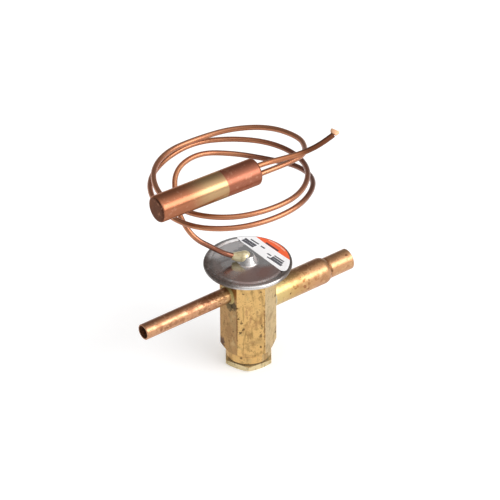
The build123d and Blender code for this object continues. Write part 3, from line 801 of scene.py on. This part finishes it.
OUTLET_COPPER = MetalFinish(
    name="outlet_copper",
    base=(0.53, 0.285, 0.145),
    roughness=0.36,
    stain=(0.16, 0.08, 0.04),
    metallic=0.95,
    zones=(
        Zone((36.0, 0.0, 38.8), (-1.0, 0.0, 0.0), (0.54, 0.34, 0.13), 22.0, 8.0, 1.0),
        Zone((24.0, 0.0, 38.8), (-1.0, 0.0, 0.0), (0.62, 0.47, 0.2), 12.0, 5.0, 0.85),
        # Painted shade: the tube is darker along its upper side.
        Zone((0.0, 1.5, 44.6), (0.0, 0.5, 0.86), (0.26, 0.12, 0.06), 2.6, 1.5, 0.6),
    ),
    layers=(
        Layer((0.38, 0.19, 0.09), 120.0, 0.5, 0.7, 0.45, 0.1, (1.4, 1.0, 1.0)),
        Layer((0.3, 0.14, 0.06), 340.0, 0.54, 0.68, 0.5, 0.1),
        Layer((0.74, 0.5, 0.26), 230.0, 0.57, 0.72, 0.5, -0.05),
        Layer((0.24, 0.11, 0.05), 850.0, 0.59, 0.7, 0.4, 0.1),
    ),
    pit_scale=430.0,
    pit_size=0.26,
    pit_share=0.08,
    blots=(
        Blot((35.9, -6.6, 43.3), 1.45, (1.0, 1.0, 1.0), 0.8, 0.8, (0.34, 0.14, 0.05)),
        Blot((35.2, -7.7, 39.8), 1.45, (1.1, 1.0, 1.0), 0.8, 0.8, (0.3, 0.12, 0.05)),
        Blot((37.5, -7.7, 37.2), 1.45, (1.2, 1.0, 0.8), 0.8, 0.8, (0.3, 0.12, 0.05)),
        Blot((38.5, -7.7, 40.2), 1.16, (1.0, 1.0, 1.0), 0.9, 0.6, (0.34, 0.16, 0.07)),
        Blot((44.1, -7.5, 41.2), 1.3, (1.4, 1.0, 0.8), 0.9, 0.6, (0.36, 0.17, 0.08)),
        Blot((48.5, -7.6, 38.6), 1.45, (1.6, 1.0, 0.8), 0.9, 0.5, (0.36, 0.17, 0.08)),
        Blot((27.9, -6.9, 42.5), 0.87, (0.8, 1.0, 1.4), 0.5, 0.8, (0.36, 0.17, 0.06)),
        Blot((29.0, -7.4, 41.0), 1.01, (1.3, 1.0, 0.8), 0.5, 0.85, (0.3, 0.14, 0.05)),
        Blot((30.6, -7.2, 41.8), 0.87, (0.8, 1.0, 1.3), 0.5, 0.8, (0.36, 0.17, 0.06)),
        Blot((39.8, -0.3, 46.7), 3.45, (1.8, 1.0, 1.0), 1.0, 0.6, (0.22, 0.1, 0.05)),
        Blot((29.0, -1.5, 46.6), 2.99, (2.2, 1.0, 1.0), 1.0, 0.6, (0.24, 0.15, 0.06)),
        Blot((47.5, 0.8, 46.5), 2.99, (2.0, 1.0, 1.0), 1.0, 0.5, (0.22, 0.1, 0.05)),
        Blot((57.2, 0.0, 38.8), 6.6, (0.055, 1.0, 1.0), 0.15, 0.75, (0.12, 0.055, 0.03)),
        Blot((56.4, -5.8, 40.0), 1.45, (0.8, 1.0, 1.4), 0.9, 0.7, (0.12, 0.06, 0.03)),
        Blot((69.7, -2.9, 44.4), 1.16, (1.0, 1.0, 1.0), 0.5, 0.85, (0.2, 0.08, 0.04)),
        Blot((61.0, -1.5, 44.8), 2.32, (2.0, 1.0, 1.0), 1.0, 0.5, (0.25, 0.12, 0.06)),
    ),
    lines=Axis.ALONG_X,
    line_depth=0.01,
    ripple_depth=0.1,
    ripple_scale=380.0,
)
CAPILLARY_COPPER = MetalFinish(
    name="capillary_copper",
    base=(0.44, 0.175, 0.085),
    roughness=0.33,
    stain=(0.12, 0.06, 0.03),
    coat=0.4,
    # Painted shade: the capillary is darker low down near the head.
    zones=(Zone((-25.0, 11.5, 90.0), (0.6, -0.2, -1.0), (0.19, 0.065, 0.036), 10.0, 1.0, 0.9),),
    layers=(
        Layer((0.26, 0.09, 0.04), 40.0, 0.48, 0.7, 0.5, 0.03),
        Layer((0.54, 0.27, 0.13), 35.0, 0.55, 0.75, 0.5),
    ),
    blots=(Blot((-7.6, 5.7, 72.6), 1.0, (1.0, 1.0, 1.9), 0.1, 0.9, (0.85, 0.42, 0.3)),),
)
CHARGING_COPPER = MetalFinish(
    name="charging_copper",
    base=(0.44, 0.175, 0.085),
    roughness=0.33,
    zones=(
        Zone((22.0, -26.0, 147.0), (0.64, -0.12, 0.5), (0.13, 0.045, 0.022), 9.0, 1.0, 0.9),
        Zone((38.5, -30.3, 158.2), (0.64, 0.19, 0.74), (0.66, 0.4, 0.25), 0.5, 0.3, 1.0, 0.25),
    ),
    layers=(Layer((0.34, 0.14, 0.07), 60.0, 0.5, 0.75, 0.25, 0.05),),
)
BULB_COPPER = MetalFinish(
    name="bulb_copper",
    base=(0.34, 0.12, 0.056),
    roughness=0.29,
    stain=(0.2, 0.1, 0.05),
    coat=0.3,
    edge_tint=(0.75, 0.5, 0.38),
    zones=(
        Zone((-48.0, 0.0, 143.2), (1.0, 0.0, 0.0), (0.42, 0.27, 0.13), 17.0, 2.0, 0.95),
        Zone((-28.9, 0.0, 143.2), (1.0, 0.0, 0.0), (0.3, 0.1, 0.055), 0.8, 1.0, 1.0, 0.1),
        # Painted shade: the bulb's end face is darkened.
        Zone((-71.9, 0.0, 143.2), (-1.0, 0.0, 0.0), (0.06, 0.018, 0.007), 0.3, 0.3, 0.95, 0.1),
    ),
    layers=(
        Layer((0.27, 0.09, 0.045), 60.0, 0.5, 0.8, 0.4, 0.03),
        Layer((0.5, 0.24, 0.15), 420.0, 0.55, 0.72, 0.4, 0.05),
    ),
)
HEAD_STEEL = MetalFinish(
    name="bright_stainless",
    base=(0.6, 0.585, 0.58),
    roughness=0.2,
    layers=(
        Layer((0.42, 0.36, 0.33), 45.0, 0.46, 0.72, 0.55, 0.03),
        Layer((0.74, 0.74, 0.75), 85.0, 0.55, 0.75, 0.4, 0.03),
        Layer((0.3, 0.22, 0.2), 420.0, 0.58, 0.74, 0.4, 0.03),
    ),
    blots=(
        # Painted reflections on the mirror-like plate: near-white patches at its far side, brown and
        # grey ones at its front and left.
        Blot((-6.0, -13.0, 69.0), 15.0, (1.1, 0.62, 1.0), 0.12, 0.7, (0.34, 0.2, 0.175)),
        Blot((4.0, -15.5, 69.0), 10.0, (1.1, 0.7, 1.0), 0.15, 0.6, (0.36, 0.2, 0.17)),
        Blot((-18.5, 10.0, 69.0), 7.5, (0.9, 1.6, 1.0), 0.4, 0.65, (0.26, 0.21, 0.19)),
        Blot((-20.5, -4.0, 69.0), 5.0, (0.8, 1.6, 1.0), 0.5, 0.6, (0.28, 0.23, 0.21)),
        Blot((-4.0, 17.5, 69.0), 9.5, (1.8, 0.7, 1.0), 0.2, 0.75, (1.0, 0.97, 0.97)),
        Blot((8.0, 15.0, 69.0), 3.5, (1.4, 0.6, 1.0), 0.4, 0.6, (0.95, 0.92, 0.92)),
        Blot((-10.0, 8.5, 69.0), 3.0, (2.2, 0.5, 1.0), 0.6, 0.45, (0.24, 0.22, 0.22)),
        # Painted dark reflections on the rim's left and right sides.
        *(
            Blot(
                (RIM_DARK_REFLECTION_R * math.cos(turn), RIM_DARK_REFLECTION_R * math.sin(turn), RIM_DARK_REFLECTION_Z),
                15.5,
                (1.0, 1.0, 2.0),
                0.15,
                0.8,
                (0.09, 0.065, 0.05),
            )
            for turn in map(math.radians, RIM_DARK_REFLECTION_ANGLES)
        ),
    ),
)
BRAZE_GOLD = MetalFinish(
    name="braze_alloy",
    base=(0.8, 0.7, 0.44),
    roughness=0.32,
    metallic=0.75,
    layers=(
        Layer((0.46, 0.36, 0.15), 330.0, 0.52, 0.66, 0.55),
        Layer((0.92, 0.87, 0.7), 420.0, 0.57, 0.7, 0.5),
    ),
    ripple_depth=0.16,
    ripple_scale=420.0,
)
JOINT_BRAZE = MetalFinish(
    name="joint_braze",
    base=(0.4, 0.31, 0.12),
    roughness=0.48,
    layers=(
        Layer((0.28, 0.22, 0.1), 260.0, 0.48, 0.66, 0.6),
        Layer((0.66, 0.56, 0.3), 420.0, 0.57, 0.7, 0.4),
    ),
    ripple_depth=0.1,
    ripple_scale=420.0,
)
BRAZE_SILVER = MetalFinish(
    name="braze_silver",
    base=(0.6, 0.58, 0.44),
    roughness=0.34,
    layers=(Layer((0.4, 0.36, 0.24), 260.0, 0.5, 0.7, 0.6),),
    ripple_depth=0.08,
    ripple_scale=420.0,
)
INNER_BRASS = MetalFinish(name="machined_brass", base=(0.66, 0.48, 0.22), roughness=0.3)
GROUND_STEEL = MetalFinish(name="ground_steel", base=(0.55, 0.55, 0.56), roughness=0.25)
SEAL_BROWN = MetalFinish(
    name="seal_ring",
    base=(0.16, 0.1, 0.05),
    roughness=0.6,
    metallic=0.0,
    layers=(Layer((0.05, 0.03, 0.02), 300.0, 0.48, 0.7, 0.8),),
)

NODE_FINISHES = {
    "valve_body": BODY_BRASS,
    "bottom_plug": PLUG_BRASS,
    "plug_seal_ring": SEAL_BROWN,
    "spring_retainer": INNER_BRASS,
    "closing_spring": GROUND_STEEL,
    "seat_insert": GROUND_STEEL,
    "valve_pin": GROUND_STEEL,
    "pin_carrier": INNER_BRASS,
    "push_rod_front": GROUND_STEEL,
    "push_rod_back": GROUND_STEEL,
    "buffer_plate": INNER_BRASS,
    "diaphragm": GROUND_STEEL,
    "head_lower_shell": HEAD_STEEL,
    "head_upper_shell": HEAD_STEEL,
    "inlet_tube": INLET_COPPER,
    "inlet_braze": JOINT_BRAZE,
    "inlet_strainer": GROUND_STEEL,
    "outlet_tube": OUTLET_COPPER,
    "outlet_braze": BRAZE_SILVER,
    "sensing_bulb": BULB_COPPER,
    "bulb_end_cap": BRAZE_SILVER,
    "bulb_braze": BRAZE_SILVER,
}


@dataclass(frozen=True)
class Bar:
    """One printed bar, placed from the head's axis, in millimetres and degrees."""

    x: float
    y: float
    half_length: float
    half_height: float
    turn: float = 90.0


@dataclass(frozen=True)
class StickerPrint:
    """White sticker with an orange field, and plain bars in place of its print."""

    name: str = "printed_sticker"
    white: Colour = (0.95, 0.95, 0.96)
    orange: Colour = (0.93, 0.13, 0.03)
    ink: Colour = (0.03, 0.03, 0.045)
    pale: Colour = (0.97, 0.48, 0.33)
    edge_x: float = 18.85
    edge_turn: float = 3.2
    edge_softness: float = 0.15
    ink_cover: float = 0.93
    roughness: float = 0.42
    grain_scale: float = 900.0
    grain_depth: float = 0.02
    grain_share: float = 0.6
    bars: tuple[Bar, ...] = (
        Bar(12.3, 13.9, 4.8, 0.85, 84.5),
        Bar(10.5, 13.9, 4.8, 0.85, 84.5),
        Bar(14.6, 12.7, 3.4, 0.5, 83.5),
        Bar(15.0, 5.6, 1.7, 0.5, 84.5),
        Bar(13.6, -2.4, 1.7, 0.5, 84.5),
        Bar(11.5, -4.6, 1.3, 0.5, 84.0),
        Bar(12.4, -10.4, 5.0, 0.88, 86.0),
        Bar(14.1, -9.7, 4.4, 0.72, 85.0),
        Bar(15.7, -9.2, 4.1, 0.5, 84.5),
        Bar(19.5, 2.6, 5.5, 0.62, 86.0),
    )
    pale_bars: tuple[Bar, ...] = (
        Bar(22.3, 6.6, 2.3, 0.38, 76.0),
        Bar(22.9, 1.9, 2.3, 0.38, 87.0),
        Bar(22.9, -3.2, 2.3, 0.38, 93.0),
    )

    def material(self, effects: SurfaceEffects) -> bpy.types.Material:
        """Builds the printed paper.

        Args:
            effects: The shared shader groups.

        Returns:
            The material.
        """
        material, graph, shader = new_material(self.name)
        shader.inputs["Roughness"].default_value = self.roughness
        turn = math.radians(self.edge_turn)
        orange_field = graph.group(
            effects.span,
            Start=mm((self.edge_x, 0.0, 0.0)),
            Direction=(math.cos(turn), math.sin(turn), 0.0),
            Softness=self.edge_softness * MM,
        )
        colour = graph.blend(orange_field, self.white, self.orange)
        colour = self._print(graph, effects, colour, self.pale_bars, self.pale)
        colour = self._print(graph, effects, colour, self.bars, self.ink)
        graph.feed(shader.inputs["Base Color"], colour)
        grain = graph.group(effects.streaks, Stretch=Axis.NONE.value, Scale=self.grain_scale)
        graph.feed(shader.inputs["Normal"], graph.bump(grain, self.grain_depth, self.grain_share))
        return material

    def _print(
        self,
        graph: Graph,
        effects: SurfaceEffects,
        colour: bpy.types.NodeSocket,
        bars: Iterable[Bar],
        ink: Colour,
    ) -> bpy.types.NodeSocket:
        """Lays bars of one ink over a colour.

        Args:
            graph: The material's graph.
            effects: The shared shader groups.
            colour: The colour under the ink.
            bars: The bars.
            ink: The ink's colour.

        Returns:
            The colour with the bars.
        """
        for bar in bars:
            mask = graph.group(
                effects.bar,
                Centre=mm((bar.x, bar.y, 0.0)),
                Turn=math.radians(bar.turn),
                Half_length=bar.half_length * MM,
                Half_height=bar.half_height * MM,
            )
            colour = graph.blend(graph.maths("MULTIPLY", mask, self.ink_cover), colour, ink)
        return colour


def smooth_tube(name: str, route: Sequence[Vector], radius: float) -> bpy.types.Object:
    """Round tube along one smooth curve, as a mesh.

    Args:
        name: The piece's name.
        route: Control points in metres.
        radius: Tube radius in metres.

    Returns:
        The mesh object.
    """
    data = bpy.data.curves.new(name, "CURVE")
    data.dimensions = "3D"
    spline = data.splines.new("NURBS")
    spline.points.add(len(route) - 1)
    for point, place in zip(spline.points, route):
        point.co = (*place, 1.0)
    spline.order_u = 3
    spline.use_endpoint_u = True
    spline.resolution_u = TUBE_STEPS
    data.bevel_depth = radius
    data.bevel_resolution = TUBE_ROUNDNESS
    data.use_fill_caps = True
    pick(link(bpy.data.objects.new(name, data)))
    bpy.ops.object.convert(target="MESH")
    tube = bpy.context.object
    close_and_face_out(tube)
    bpy.ops.object.shade_smooth_by_angle(angle=math.radians(TUBE_SMOOTH_ANGLE))
    return tube


@dataclass
class PowerElement:
    """Capillary, its coil, the charging tube and the braze lump, in millimetres."""

    rim_z: float = 67.8
    tube_r: float = 1.5875
    root: Point = (-2.6, 1.95, 4.3)
    riser: tuple[Point, ...] = (
        (-8.0, 6.0, 4.9),
        (-18.6, 8.6, 13.9),
        (-28.6, 13.1, 22.4),
        (-31.0, 22.5, 32.0),
        (-26.9, 33.4, 39.4),
    )
    coil_centre: tuple[float, float] = (-3.0, 9.5)
    coil_first_angle: float = 113.5
    coil_step: float = 30.0
    coil_radii: tuple[float, ...] = (
        38.7, 40.7, 39.3, 40.1, 44.5, 47.5, 46.6, 46.4, 48.1, 50.4,
        50.0, 49.0, 46.4, 45.0, 42.8, 42.8, 43.3, 44.0, 44.4, 44.6,
        46.0, 47.3, 47.5, 46.8, 45.0, 42.0, 42.5, 43.9, 44.2,
    )
    coil_heights: tuple[float, ...] = (
        48.3, 49.0, 45.7, 44.6, 48.0, 53.0, 54.4, 55.1, 53.9, 52.5,
        53.0, 53.0, 52.5, 54.0, 53.7, 54.8, 56.3, 59.0, 59.6, 61.0,
        60.0, 59.0, 59.0, 59.5, 58.5, 58.0, 61.0, 64.8, 68.3,
    )
    lead: tuple[Point, ...] = ((36.0, -7.6, 69.4), (28.6, -14.7, 71.4), (17.5, -16.8, 72.3))
    bulb_mouth: Point = (-5.6, -15.7, 75.4)
    bulb_yaw: float = -3.0
    port_spacing: float = 6.2
    insert: float = 4.2
    lead_out: float = 9.6
    charge_out: float = 5.6
    charge_route: tuple[Point, ...] = (
        (9.5, -19.5, 79.4),
        (20.5, -24.6, 81.5),
        (31.0, -29.0, 86.0),
        (38.2, -30.4, 90.1),
    )
    pinch_axis: Point = (0.64, 0.19, 0.74)
    pinch_across: Point = (0.60, -0.73, -0.33)
    pinch_length: float = 3.0
    pinch_width: float = 5.2
    pinch_thick: float = 1.1
    pinch_sides: int = 28
    pinch_smooth_angle: float = 40.0
    blob_reach: float = 9.2
    blob_root_r: float = 3.5
    blob_tip_r: float = 2.1
    blob_cap_r: float = 3.9
    blob_cap_z: float = 4.1
    blob_cap_share: float = 0.6
    blob_sides: int = 32
    blob_rings: int = 20
    blob_grid: float = 0.16
    blob_smoothing: int = 14
    pieces: dict[str, bpy.types.Object] = field(default_factory=dict)

    def above_rim(self, point: Point) -> Vector:
        """Place in metres of a point whose height is above the rim's middle."""
        return mm((point[0], point[1], point[2] + self.rim_z))

    def bulb_point(self, along: float, rise: float) -> Vector:
        """Place from the middle of the bulb's mouth.

        Args:
            along: Millimetres out of the mouth.
            rise: Millimetres above the bulb's axis.

        Returns:
            The place in metres.
        """
        yaw = math.radians(self.bulb_yaw)
        mouth = self.above_rim(self.bulb_mouth)
        return mouth + mm((along * math.cos(yaw), along * math.sin(yaw), rise))

    def capillary_route(self) -> list[Vector]:
        """Control points of the capillary from the dome to the bulb.

        Returns:
            The places in metres.
        """
        points = [self.above_rim(self.root)]
        points += [self.above_rim(point) for point in self.riser]
        for step, (radius, height) in enumerate(zip(self.coil_radii, self.coil_heights)):
            angle = math.radians(self.coil_first_angle - step * self.coil_step)
            x = self.coil_centre[0] + radius * math.cos(angle)
            y = self.coil_centre[1] + radius * math.sin(angle)
            points.append(self.above_rim((x, y, height)))
        points += [self.above_rim(point) for point in self.lead]
        points.append(self.bulb_point(self.lead_out, -self.port_spacing / 2))
        points.append(self.bulb_point(-self.insert, -self.port_spacing / 2))
        return points

    def charge_points(self) -> list[Vector]:
        """Control points of the charging tube.

        Returns:
            The places in metres.
        """
        rise = self.port_spacing / 2
        points = [self.bulb_point(-self.insert, rise), self.bulb_point(self.charge_out, rise)]
        return points + [self.above_rim(point) for point in self.charge_route]

    def build(self) -> None:
        """Makes the capillary, the charging tube with its pinched end and the braze lump."""
        self.pieces["capillary"] = smooth_tube("capillary", self.capillary_route(), self.tube_r * MM)
        charging = smooth_tube("charging", self.charge_points(), self.tube_r * MM)
        blade = self._pinch()
        pick(charging, blade)
        bpy.ops.object.join()
        self.pieces["charging"] = charging
        self.pieces["dome_braze"] = self._dome_braze()

    def _pinch(self) -> bpy.types.Object:
        """Flared flat end where the tube was pinched off.

        Returns:
            The mesh object.
        """
        end = self.charge_points()[-1]
        deselect()
        bpy.ops.mesh.primitive_circle_add(
            vertices=self.pinch_sides, radius=self.tube_r * MM, fill_type="NGON"
        )
        blade = bpy.context.object
        blade.name = "pinched_end"
        wide = self.pinch_width / 2 / self.tube_r
        thick = self.pinch_thick / 2 / self.tube_r
        stages = (
            (0.18, 1.22, 0.75),
            (0.38, 1.48, 0.5),
            (0.6, wide, thick),
            (0.86, wide * 0.97, thick),
            (1.0, wide * 0.86, thick * 0.75),
        )
        bpy.ops.object.mode_set(mode="EDIT")
        bpy.ops.mesh.select_all(action="SELECT")
        height, width, depth = 0.0, 1.0, 1.0
        for new_height, new_width, new_depth in stages:
            rise = (new_height - height) * self.pinch_length * MM
            bpy.ops.mesh.extrude_region_move(TRANSFORM_OT_translate={"value": (0.0, 0.0, rise)})
            bpy.ops.transform.resize(value=(new_width / width, new_depth / depth, 1.0))
            height, width, depth = new_height, new_width, new_depth
        bpy.ops.object.mode_set(mode="OBJECT")
        axis, across = Vector(self.pinch_axis), Vector(self.pinch_across)
        blade.matrix_world = Matrix.Translation(end) @ basis(across, axis)
        settle(blade)
        close_and_face_out(blade)
        bpy.ops.object.shade_smooth_by_angle(angle=math.radians(self.pinch_smooth_angle))
        return blade

    def _dome_braze(self) -> bpy.types.Object:
        """Lump of braze that buries the capillary's end on the dome.

        Returns:
            The mesh object.
        """
        start = self.above_rim(self.root)
        run = (self.above_rim(self.riser[0]) - start).normalized()
        length = (self.blob_reach - math.hypot(self.root[0], self.root[1])) * MM
        deselect()
        bpy.ops.mesh.primitive_cone_add(
            vertices=self.blob_sides,
            radius1=self.blob_root_r * MM,
            radius2=self.blob_tip_r * MM,
            depth=length,
        )
        cone = bpy.context.object
        middle = start + run * length / 2
        cone.matrix_world = Matrix.Translation(middle) @ basis(Vector((0.0, 0.0, 1.0)), run)
        settle(cone)
        share = self.blob_cap_share
        cap = self.above_rim((self.root[0] * share, self.root[1] * share, self.blob_cap_z))
        deselect()
        bpy.ops.mesh.primitive_uv_sphere_add(
            segments=self.blob_sides,
            ring_count=self.blob_rings,
            radius=self.blob_cap_r * MM,
            location=cap,
        )
        ball = bpy.context.object
        settle(ball)
        pick(cone, ball)
        bpy.ops.object.join()
        lump = bpy.context.object
        lump.name = "dome_braze"
        remesh = lump.modifiers.new("melt", "REMESH")
        remesh.mode = "VOXEL"
        remesh.voxel_size = self.blob_grid * MM
        smooth = lump.modifiers.new("settle", "SMOOTH")
        smooth.iterations = self.blob_smoothing
        apply_modifiers(lump)
        bpy.ops.object.shade_smooth()
        return lump


@dataclass
class Studio:
    """Floor, world, one softbox and the camera, in millimetres and degrees."""

    azimuth: float = -36.508
    elevation: float = 35.85
    roll: float = -0.428
    distance: float = 2500.0
    target_right: float = 1.319
    target_height: float = 76.95
    focal_share: float = 1.741
    picture_width: float = 500.0
    sensor: float = 36.0
    floor_size: float = 6000.0
    floor_colour: Colour = (0.86, 0.86, 0.86)
    floor_lift: float = 0.24
    fill_level: float = 0.82
    front_azimuth: float = 6.0
    front_elevation: float = 55.0
    sky_levels: tuple[tuple[float, float], ...] = (
        (0.1, 0.32), (0.45, 0.45), (0.7, 0.75), (0.85, 1.3), (0.97, 1.6),
    )
    horizon_level: float = 0.9
    horizon_top: float = 0.09
    horizon_full: float = 0.02
    box_azimuth: float = 30.0
    box_elevation: float = 30.0
    box_distance: float = 1600.0
    box_width: float = 1500.0
    box_height: float = 850.0
    box_level: float = 4.2
    box_aim: float = 90.0
    clip_near: float = 100.0
    clip_far: float = 50000.0

    @staticmethod
    def level(azimuth: float) -> Vector:
        """Level direction to the right of one who looks from an azimuth at the valve."""
        turn = math.radians(azimuth)
        return Vector((math.cos(turn), math.sin(turn), 0.0))

    @staticmethod
    def outward(azimuth: float, elevation: float) -> Vector:
        """Direction from the valve at an azimuth and elevation.

        Args:
            azimuth: Degrees, where 0 is at -Y.
            elevation: Degrees above the floor.

        Returns:
            The unit vector.
        """
        turn, rise = math.radians(azimuth), math.radians(elevation)
        out = math.cos(rise)
        return Vector((math.sin(turn) * out, -math.cos(turn) * out, math.sin(rise)))

    def build(self) -> None:
        """Makes the floor, the lights and the camera."""
        self._floor()
        self._world()
        self._softbox()
        self._camera()

    def _camera(self) -> None:
        """Camera at the photograph's viewing angle."""
        back = self.outward(self.azimuth, self.elevation)
        level = self.level(self.azimuth)
        target = level * self.target_right * MM + Vector((0.0, 0.0, self.target_height * MM))
        data = bpy.data.cameras.new("camera")
        data.sensor_width = self.sensor
        data.lens = self.sensor * self.focal_share * self.distance / self.picture_width
        data.clip_start = self.clip_near * MM
        data.clip_end = self.clip_far * MM
        camera = link(bpy.data.objects.new("camera", data))
        rolled = Matrix.Rotation(math.radians(self.roll), 4, back)
        place = Matrix.Translation(target + back * self.distance * MM)
        camera.matrix_world = place @ rolled @ basis(level, back)
        bpy.context.scene.camera = camera

    def _floor(self) -> None:
        """Plain white floor that keeps the valve's shadow."""
        deselect()
        bpy.ops.mesh.primitive_plane_add(size=self.floor_size * MM)
        floor = bpy.context.object
        floor.name = "floor"
        material, graph, shader = new_material("floor_white")
        shader.inputs["Base Color"].default_value = (*self.floor_colour, 1.0)
        shader.inputs["Roughness"].default_value = 1.0
        shader.inputs["Specular IOR Level"].default_value = 0.0
        shader.inputs["Emission Color"].default_value = (1.0, 1.0, 1.0, 1.0)
        seen = self._seen(graph)
        graph.feed(shader.inputs["Emission Strength"], graph.maths("MULTIPLY", seen, self.floor_lift))
        floor.data.materials.append(material)
        floor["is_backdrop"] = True

    @staticmethod
    def _seen(graph: Graph) -> bpy.types.NodeSocket:
        """Mask of the rays that show the background as it is.

        Args:
            graph: The material's or the world's graph.

        Returns:
            The mask socket.
        """
        path = graph.add("LightPath")
        direct = graph.maths("MAXIMUM", path.outputs["Is Camera Ray"], path.outputs["Is Glossy Ray"])
        return graph.maths("MAXIMUM", direct, path.outputs["Is Transmission Ray"])

    def _world(self) -> None:
        """White behind the valve; reflections get a pale horizon and a sky that fades to the back."""
        world = bpy.data.worlds.new("studio")
        world.use_nodes = True
        bpy.context.scene.world = world
        graph = Graph(world.node_tree)
        background = world.node_tree.nodes["Background"]
        ray = graph.add("TexCoord").outputs["Generated"]
        front = self.outward(self.front_azimuth, self.front_elevation)
        ramp = graph.add("ValToRGB")
        elements = ramp.color_ramp.elements
        while len(elements) < len(self.sky_levels):
            elements.new(0.5)
        for element, (place, level) in zip(elements, self.sky_levels):
            element.position = place
            element.color = (level, level, level, 1.0)
        graph.feed(ramp.inputs[0], graph.vector_maths("DOT_PRODUCT", ray, front).outputs["Value"])
        parts = graph.add("SeparateXYZ")
        graph.feed(parts.inputs[0], ray)
        low = graph.steps(parts.outputs[2], self.horizon_top, self.horizon_full)
        pale = (self.horizon_level,) * 3
        sky = graph.blend(low, ramp.outputs[0], pale)
        path = graph.add("LightPath")
        fill = (self.fill_level,) * 3
        shown = graph.blend(path.outputs["Is Glossy Ray"], fill, sky)
        through = path.outputs["Is Transmission Ray"]
        direct = graph.maths("MAXIMUM", path.outputs["Is Camera Ray"], through)
        shown = graph.blend(direct, shown, (1.0, 1.0, 1.0))
        graph.feed(background.inputs["Color"], shown)
        background.inputs["Strength"].default_value = 1.0

    def _softbox(self) -> None:
        """One wide soft lamp on the camera's side."""
        data = bpy.data.lights.new("softbox", "AREA")
        data.shape = "RECTANGLE"
        data.size = self.box_width * MM
        data.size_y = self.box_height * MM
        data.energy = math.pi * data.size * data.size_y * self.box_level
        lamp = link(bpy.data.objects.new("softbox", data))
        back = self.outward(self.box_azimuth, self.box_elevation)
        place = mm((0.0, 0.0, self.box_aim)) + back * self.box_distance * MM
        lamp.matrix_world = Matrix.Translation(place) @ basis(self.level(self.box_azimuth), back)
        lamp.visible_camera = False


class Valve:
    """Dresses the CAD nodes and adds the pieces that replace some of them."""

    def __init__(self) -> None:
        """Prepares the shared effects and the power element."""
        self.effects = SurfaceEffects()
        self.power = PowerElement()
        self.materials: dict[str, bpy.types.Material] = {}

    def metal(self, finish: MetalFinish) -> bpy.types.Material:
        """Material of a finish, built the first time it is asked for.

        Args:
            finish: The metal's finish.

        Returns:
            The material.
        """
        if finish.name not in self.materials:
            self.materials[finish.name] = finish.material(self.effects)
        return self.materials[finish.name]

    @staticmethod
    def dress(piece: bpy.types.Object, material: bpy.types.Material) -> None:
        """Gives a piece one material.

        Args:
            piece: The CAD node's object or a new piece.
            material: The material.
        """
        if not piece.material_slots:
            piece.data.materials.append(material)
        for slot in piece.material_slots:
            slot.material = material

    def dress_nodes(self) -> None:
        """Gives every CAD node that stays its finish."""
        for node, finish in NODE_FINISHES.items():
            self.dress(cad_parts[node], self.metal(finish))
            log.info("%s dressed in %s", node, finish.name)
        self.dress(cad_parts["head_label"], StickerPrint().material(self.effects))

    @staticmethod
    def press_spring() -> None:
        """Gives the closing spring a mesh of its own."""
        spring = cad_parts["closing_spring"]
        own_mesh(spring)

    def add_power_element(self) -> None:
        """Adds the smooth tubes and the braze lump in place of their CAD nodes."""
        self.power.build()
        plan = {
            "capillary": ("capillary_tube", "capillary_copper", CAPILLARY_COPPER),
            "charging": ("charging_tube", "capillary_copper", CHARGING_COPPER),
            "dome_braze": ("capillary_braze", "braze", BRAZE_GOLD),
        }
        for name, (node, slot, finish) in plan.items():
            piece = self.power.pieces[name]
            self.dress(piece, self.metal(finish))
            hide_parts(node)
            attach(piece, FIXED_BODY)
            log.info("%s stands for %s", name, node)


def main() -> None:
    """Builds the dressed valve and its studio."""
    logging.basicConfig(level=logging.INFO)
    bpy.context.scene.view_settings.view_transform = "Standard"
    valve = Valve()
    valve.dress_nodes()
    valve.press_spring()
    valve.add_power_element()
    Studio().build()
    boxes = {"cad": cad_box, "visual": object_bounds()}
    {name: [list(corner) for corner in box] for name, box in boxes.items()}


if __name__ == "__main__":
    main()
